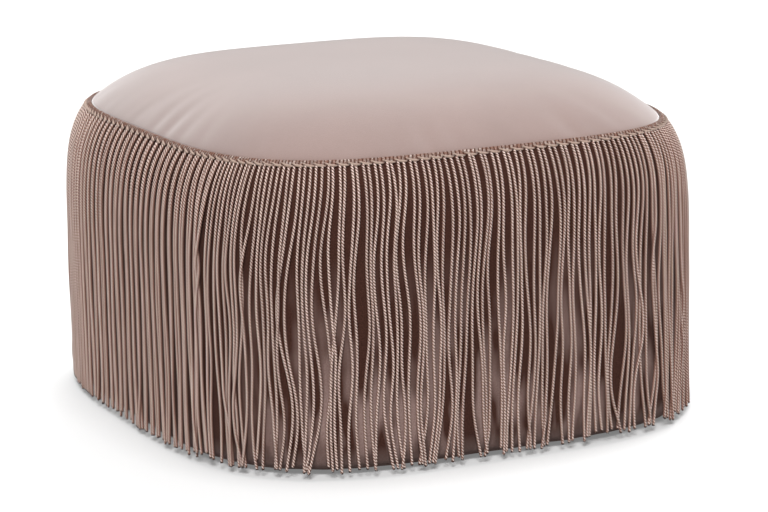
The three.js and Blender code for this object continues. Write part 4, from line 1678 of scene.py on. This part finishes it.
class TUFFET_OT_stage(bpy.types.Operator):
    """Set up the camera, the plain floor and the soft light"""

    bl_idname = "tuffet.stage"
    bl_label = "Set the stage"
    bl_options = {"REGISTER", "UNDO"}

    def execute(self, context):
        stage = context.scene.tuffet_stage
        self.camera(context, stage)
        self.floor(tuple(context.scene.tuffet_colours.floor))
        self.world(context, stage)
        for name, strength, spread, place in LAMPS:
            self.lamp(name, getattr(stage, strength), spread, Vector(place))
        context.scene.view_settings.view_transform = "Standard"
        return {"FINISHED"}

    def camera(self, context, stage):
        """Places the camera where it looks at the tuffet as the photo does."""
        azimuth, elevation = stage.camera_azimuth, stage.camera_elevation
        level = math.cos(elevation)
        back = Vector((math.sin(azimuth) * level, -math.cos(azimuth) * level, math.sin(elevation)))
        upright = back.to_track_quat("Z", "Y").to_matrix()
        turned = upright @ Matrix.Rotation(stage.camera_roll, 3, "Z")
        bpy.ops.object.camera_add(
            location=AIM + back * stage.camera_distance, rotation=turned.to_euler()
        )
        camera = context.object
        camera.name = "photo_camera"
        camera.data.sensor_width = SENSOR_WIDTH
        camera.data.lens = stage.camera_lens
        camera.data.clip_end = FAR_CLIP
        context.scene.camera = camera

    def floor(self, colour):
        """A plain floor that the camera sees as white, but for the tuffet's shadow."""
        bpy.ops.object.select_all(action="DESELECT")
        bpy.ops.mesh.primitive_plane_add(size=FLOOR_SIZE, location=(0, 0, 0))
        floor = bpy.context.object
        floor.name = "floor"
        finish = Finish("plain_floor", colour, 0.9)
        finish.tree.nodes.remove(finish.shader)
        # Painted shadow: ambient occlusion dims the floor's glow near the tuffet, so a soft contact
        # shadow shows beyond the lamps' own.
        closed = finish.node("ShaderNodeAmbientOcclusion", {"Distance": SHADOW_REACH}).outputs["AO"]
        glow = finish.between(closed, 0.40, 0.82, 0.205, 0.410)
        plain = finish.node("ShaderNodeBsdfDiffuse", {"Color": (*colour, 1)}).outputs[0]
        grey = (FLOOR_GREY, FLOOR_GREY, FLOOR_GREY, 1)
        shadowed = finish.node("ShaderNodeBsdfDiffuse", {"Color": grey}).outputs[0]
        bright = finish.node("ShaderNodeEmission", {"Color": WHITE, "Strength": glow}).outputs[0]
        white = finish.node("ShaderNodeAddShader", {0: shadowed, 1: bright}).outputs[0]
        inputs = {0: finish.seen("Is Glossy Ray"), 1: plain, 2: white}
        mixed = finish.node("ShaderNodeMixShader", inputs).outputs[0]
        finish.tree.links.new(mixed, finish.tree.nodes["Material Output"].inputs["Surface"])
        floor.data.materials.append(finish.material)

    def world(self, context, stage):
        """Even light from all round, which the camera sees as white."""
        world = bpy.data.worlds.new("plain_light")
        context.scene.world = world
        world.use_nodes = True
        world.node_tree.nodes.clear()
        nodes = Nodes(world.node_tree)
        seen = nodes.seen("Is Glossy Ray", "Is Transmission Ray")
        inputs = {"Color": WHITE, "Strength": stage.ambient}
        soft = nodes.node("ShaderNodeBackground", inputs).outputs[0]
        white = nodes.node("ShaderNodeBackground", {"Color": WHITE, "Strength": 1.0}).outputs[0]
        mixed = nodes.node("ShaderNodeMixShader", {0: seen, 1: soft, 2: white}).outputs[0]
        nodes.node("ShaderNodeOutputWorld", {"Surface": mixed})

    def lamp(self, name, strength, spread, place):
        """A broad even light from the direction of a place, as wide as its spread in degrees."""
        bpy.ops.object.light_add(
            type="SUN", location=place, rotation=place.to_track_quat("Z", "Y").to_euler()
        )
        lamp = bpy.context.object
        lamp.name = name
        lamp.data.energy = strength
        lamp.data.angle = math.radians(spread)


class TUFFET_PT_panel(bpy.types.Panel):
    """Lists the steps that dress the tuffet, in order"""

    bl_idname = "TUFFET_PT_panel"
    bl_label = "Fringed tuffet"
    bl_space_type = "VIEW_3D"
    bl_region_type = "UI"
    bl_category = "Tuffet"

    def draw(self, context):
        layout = self.layout
        for step in STEPS:
            layout.operator(step.bl_idname)
        for values in ("tuffet_sizes", "tuffet_colours", "tuffet_stage"):
            box = layout.box()
            group = getattr(context.scene, values)
            for name in group.bl_rna.properties.keys():
                if name not in ("rna_type", "name"):
                    box.prop(group, name)


STEPS = (
    TUFFET_OT_carcass,
    TUFFET_OT_webbing,
    TUFFET_OT_padding,
    TUFFET_OT_seat_velvet,
    TUFFET_OT_side_velvet,
    TUFFET_OT_underside,
    TUFFET_OT_braid,
    TUFFET_OT_fringe,
    TUFFET_OT_stage,
)
CLASSES = (TuffetSizes, TuffetColours, TuffetStage, *STEPS, TUFFET_PT_panel)


def register():
    for made in CLASSES:
        bpy.utils.register_class(made)
    bpy.types.Scene.tuffet_sizes = PointerProperty(type=TuffetSizes)
    bpy.types.Scene.tuffet_colours = PointerProperty(type=TuffetColours)
    bpy.types.Scene.tuffet_stage = PointerProperty(type=TuffetStage)


def unregister():
    del bpy.types.Scene.tuffet_stage
    del bpy.types.Scene.tuffet_colours
    del bpy.types.Scene.tuffet_sizes
    for made in reversed(CLASSES):
        bpy.utils.unregister_class(made)


def main():
    register()
    bpy.ops.tuffet.carcass()
    bpy.ops.tuffet.webbing()
    bpy.ops.tuffet.padding()
    bpy.ops.tuffet.seat_velvet()
    bpy.ops.tuffet.side_velvet()
    bpy.ops.tuffet.underside()
    bpy.ops.tuffet.braid()
    bpy.ops.tuffet.fringe()
    bpy.ops.tuffet.stage()
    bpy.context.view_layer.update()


if __name__ == "__main__":
    main()
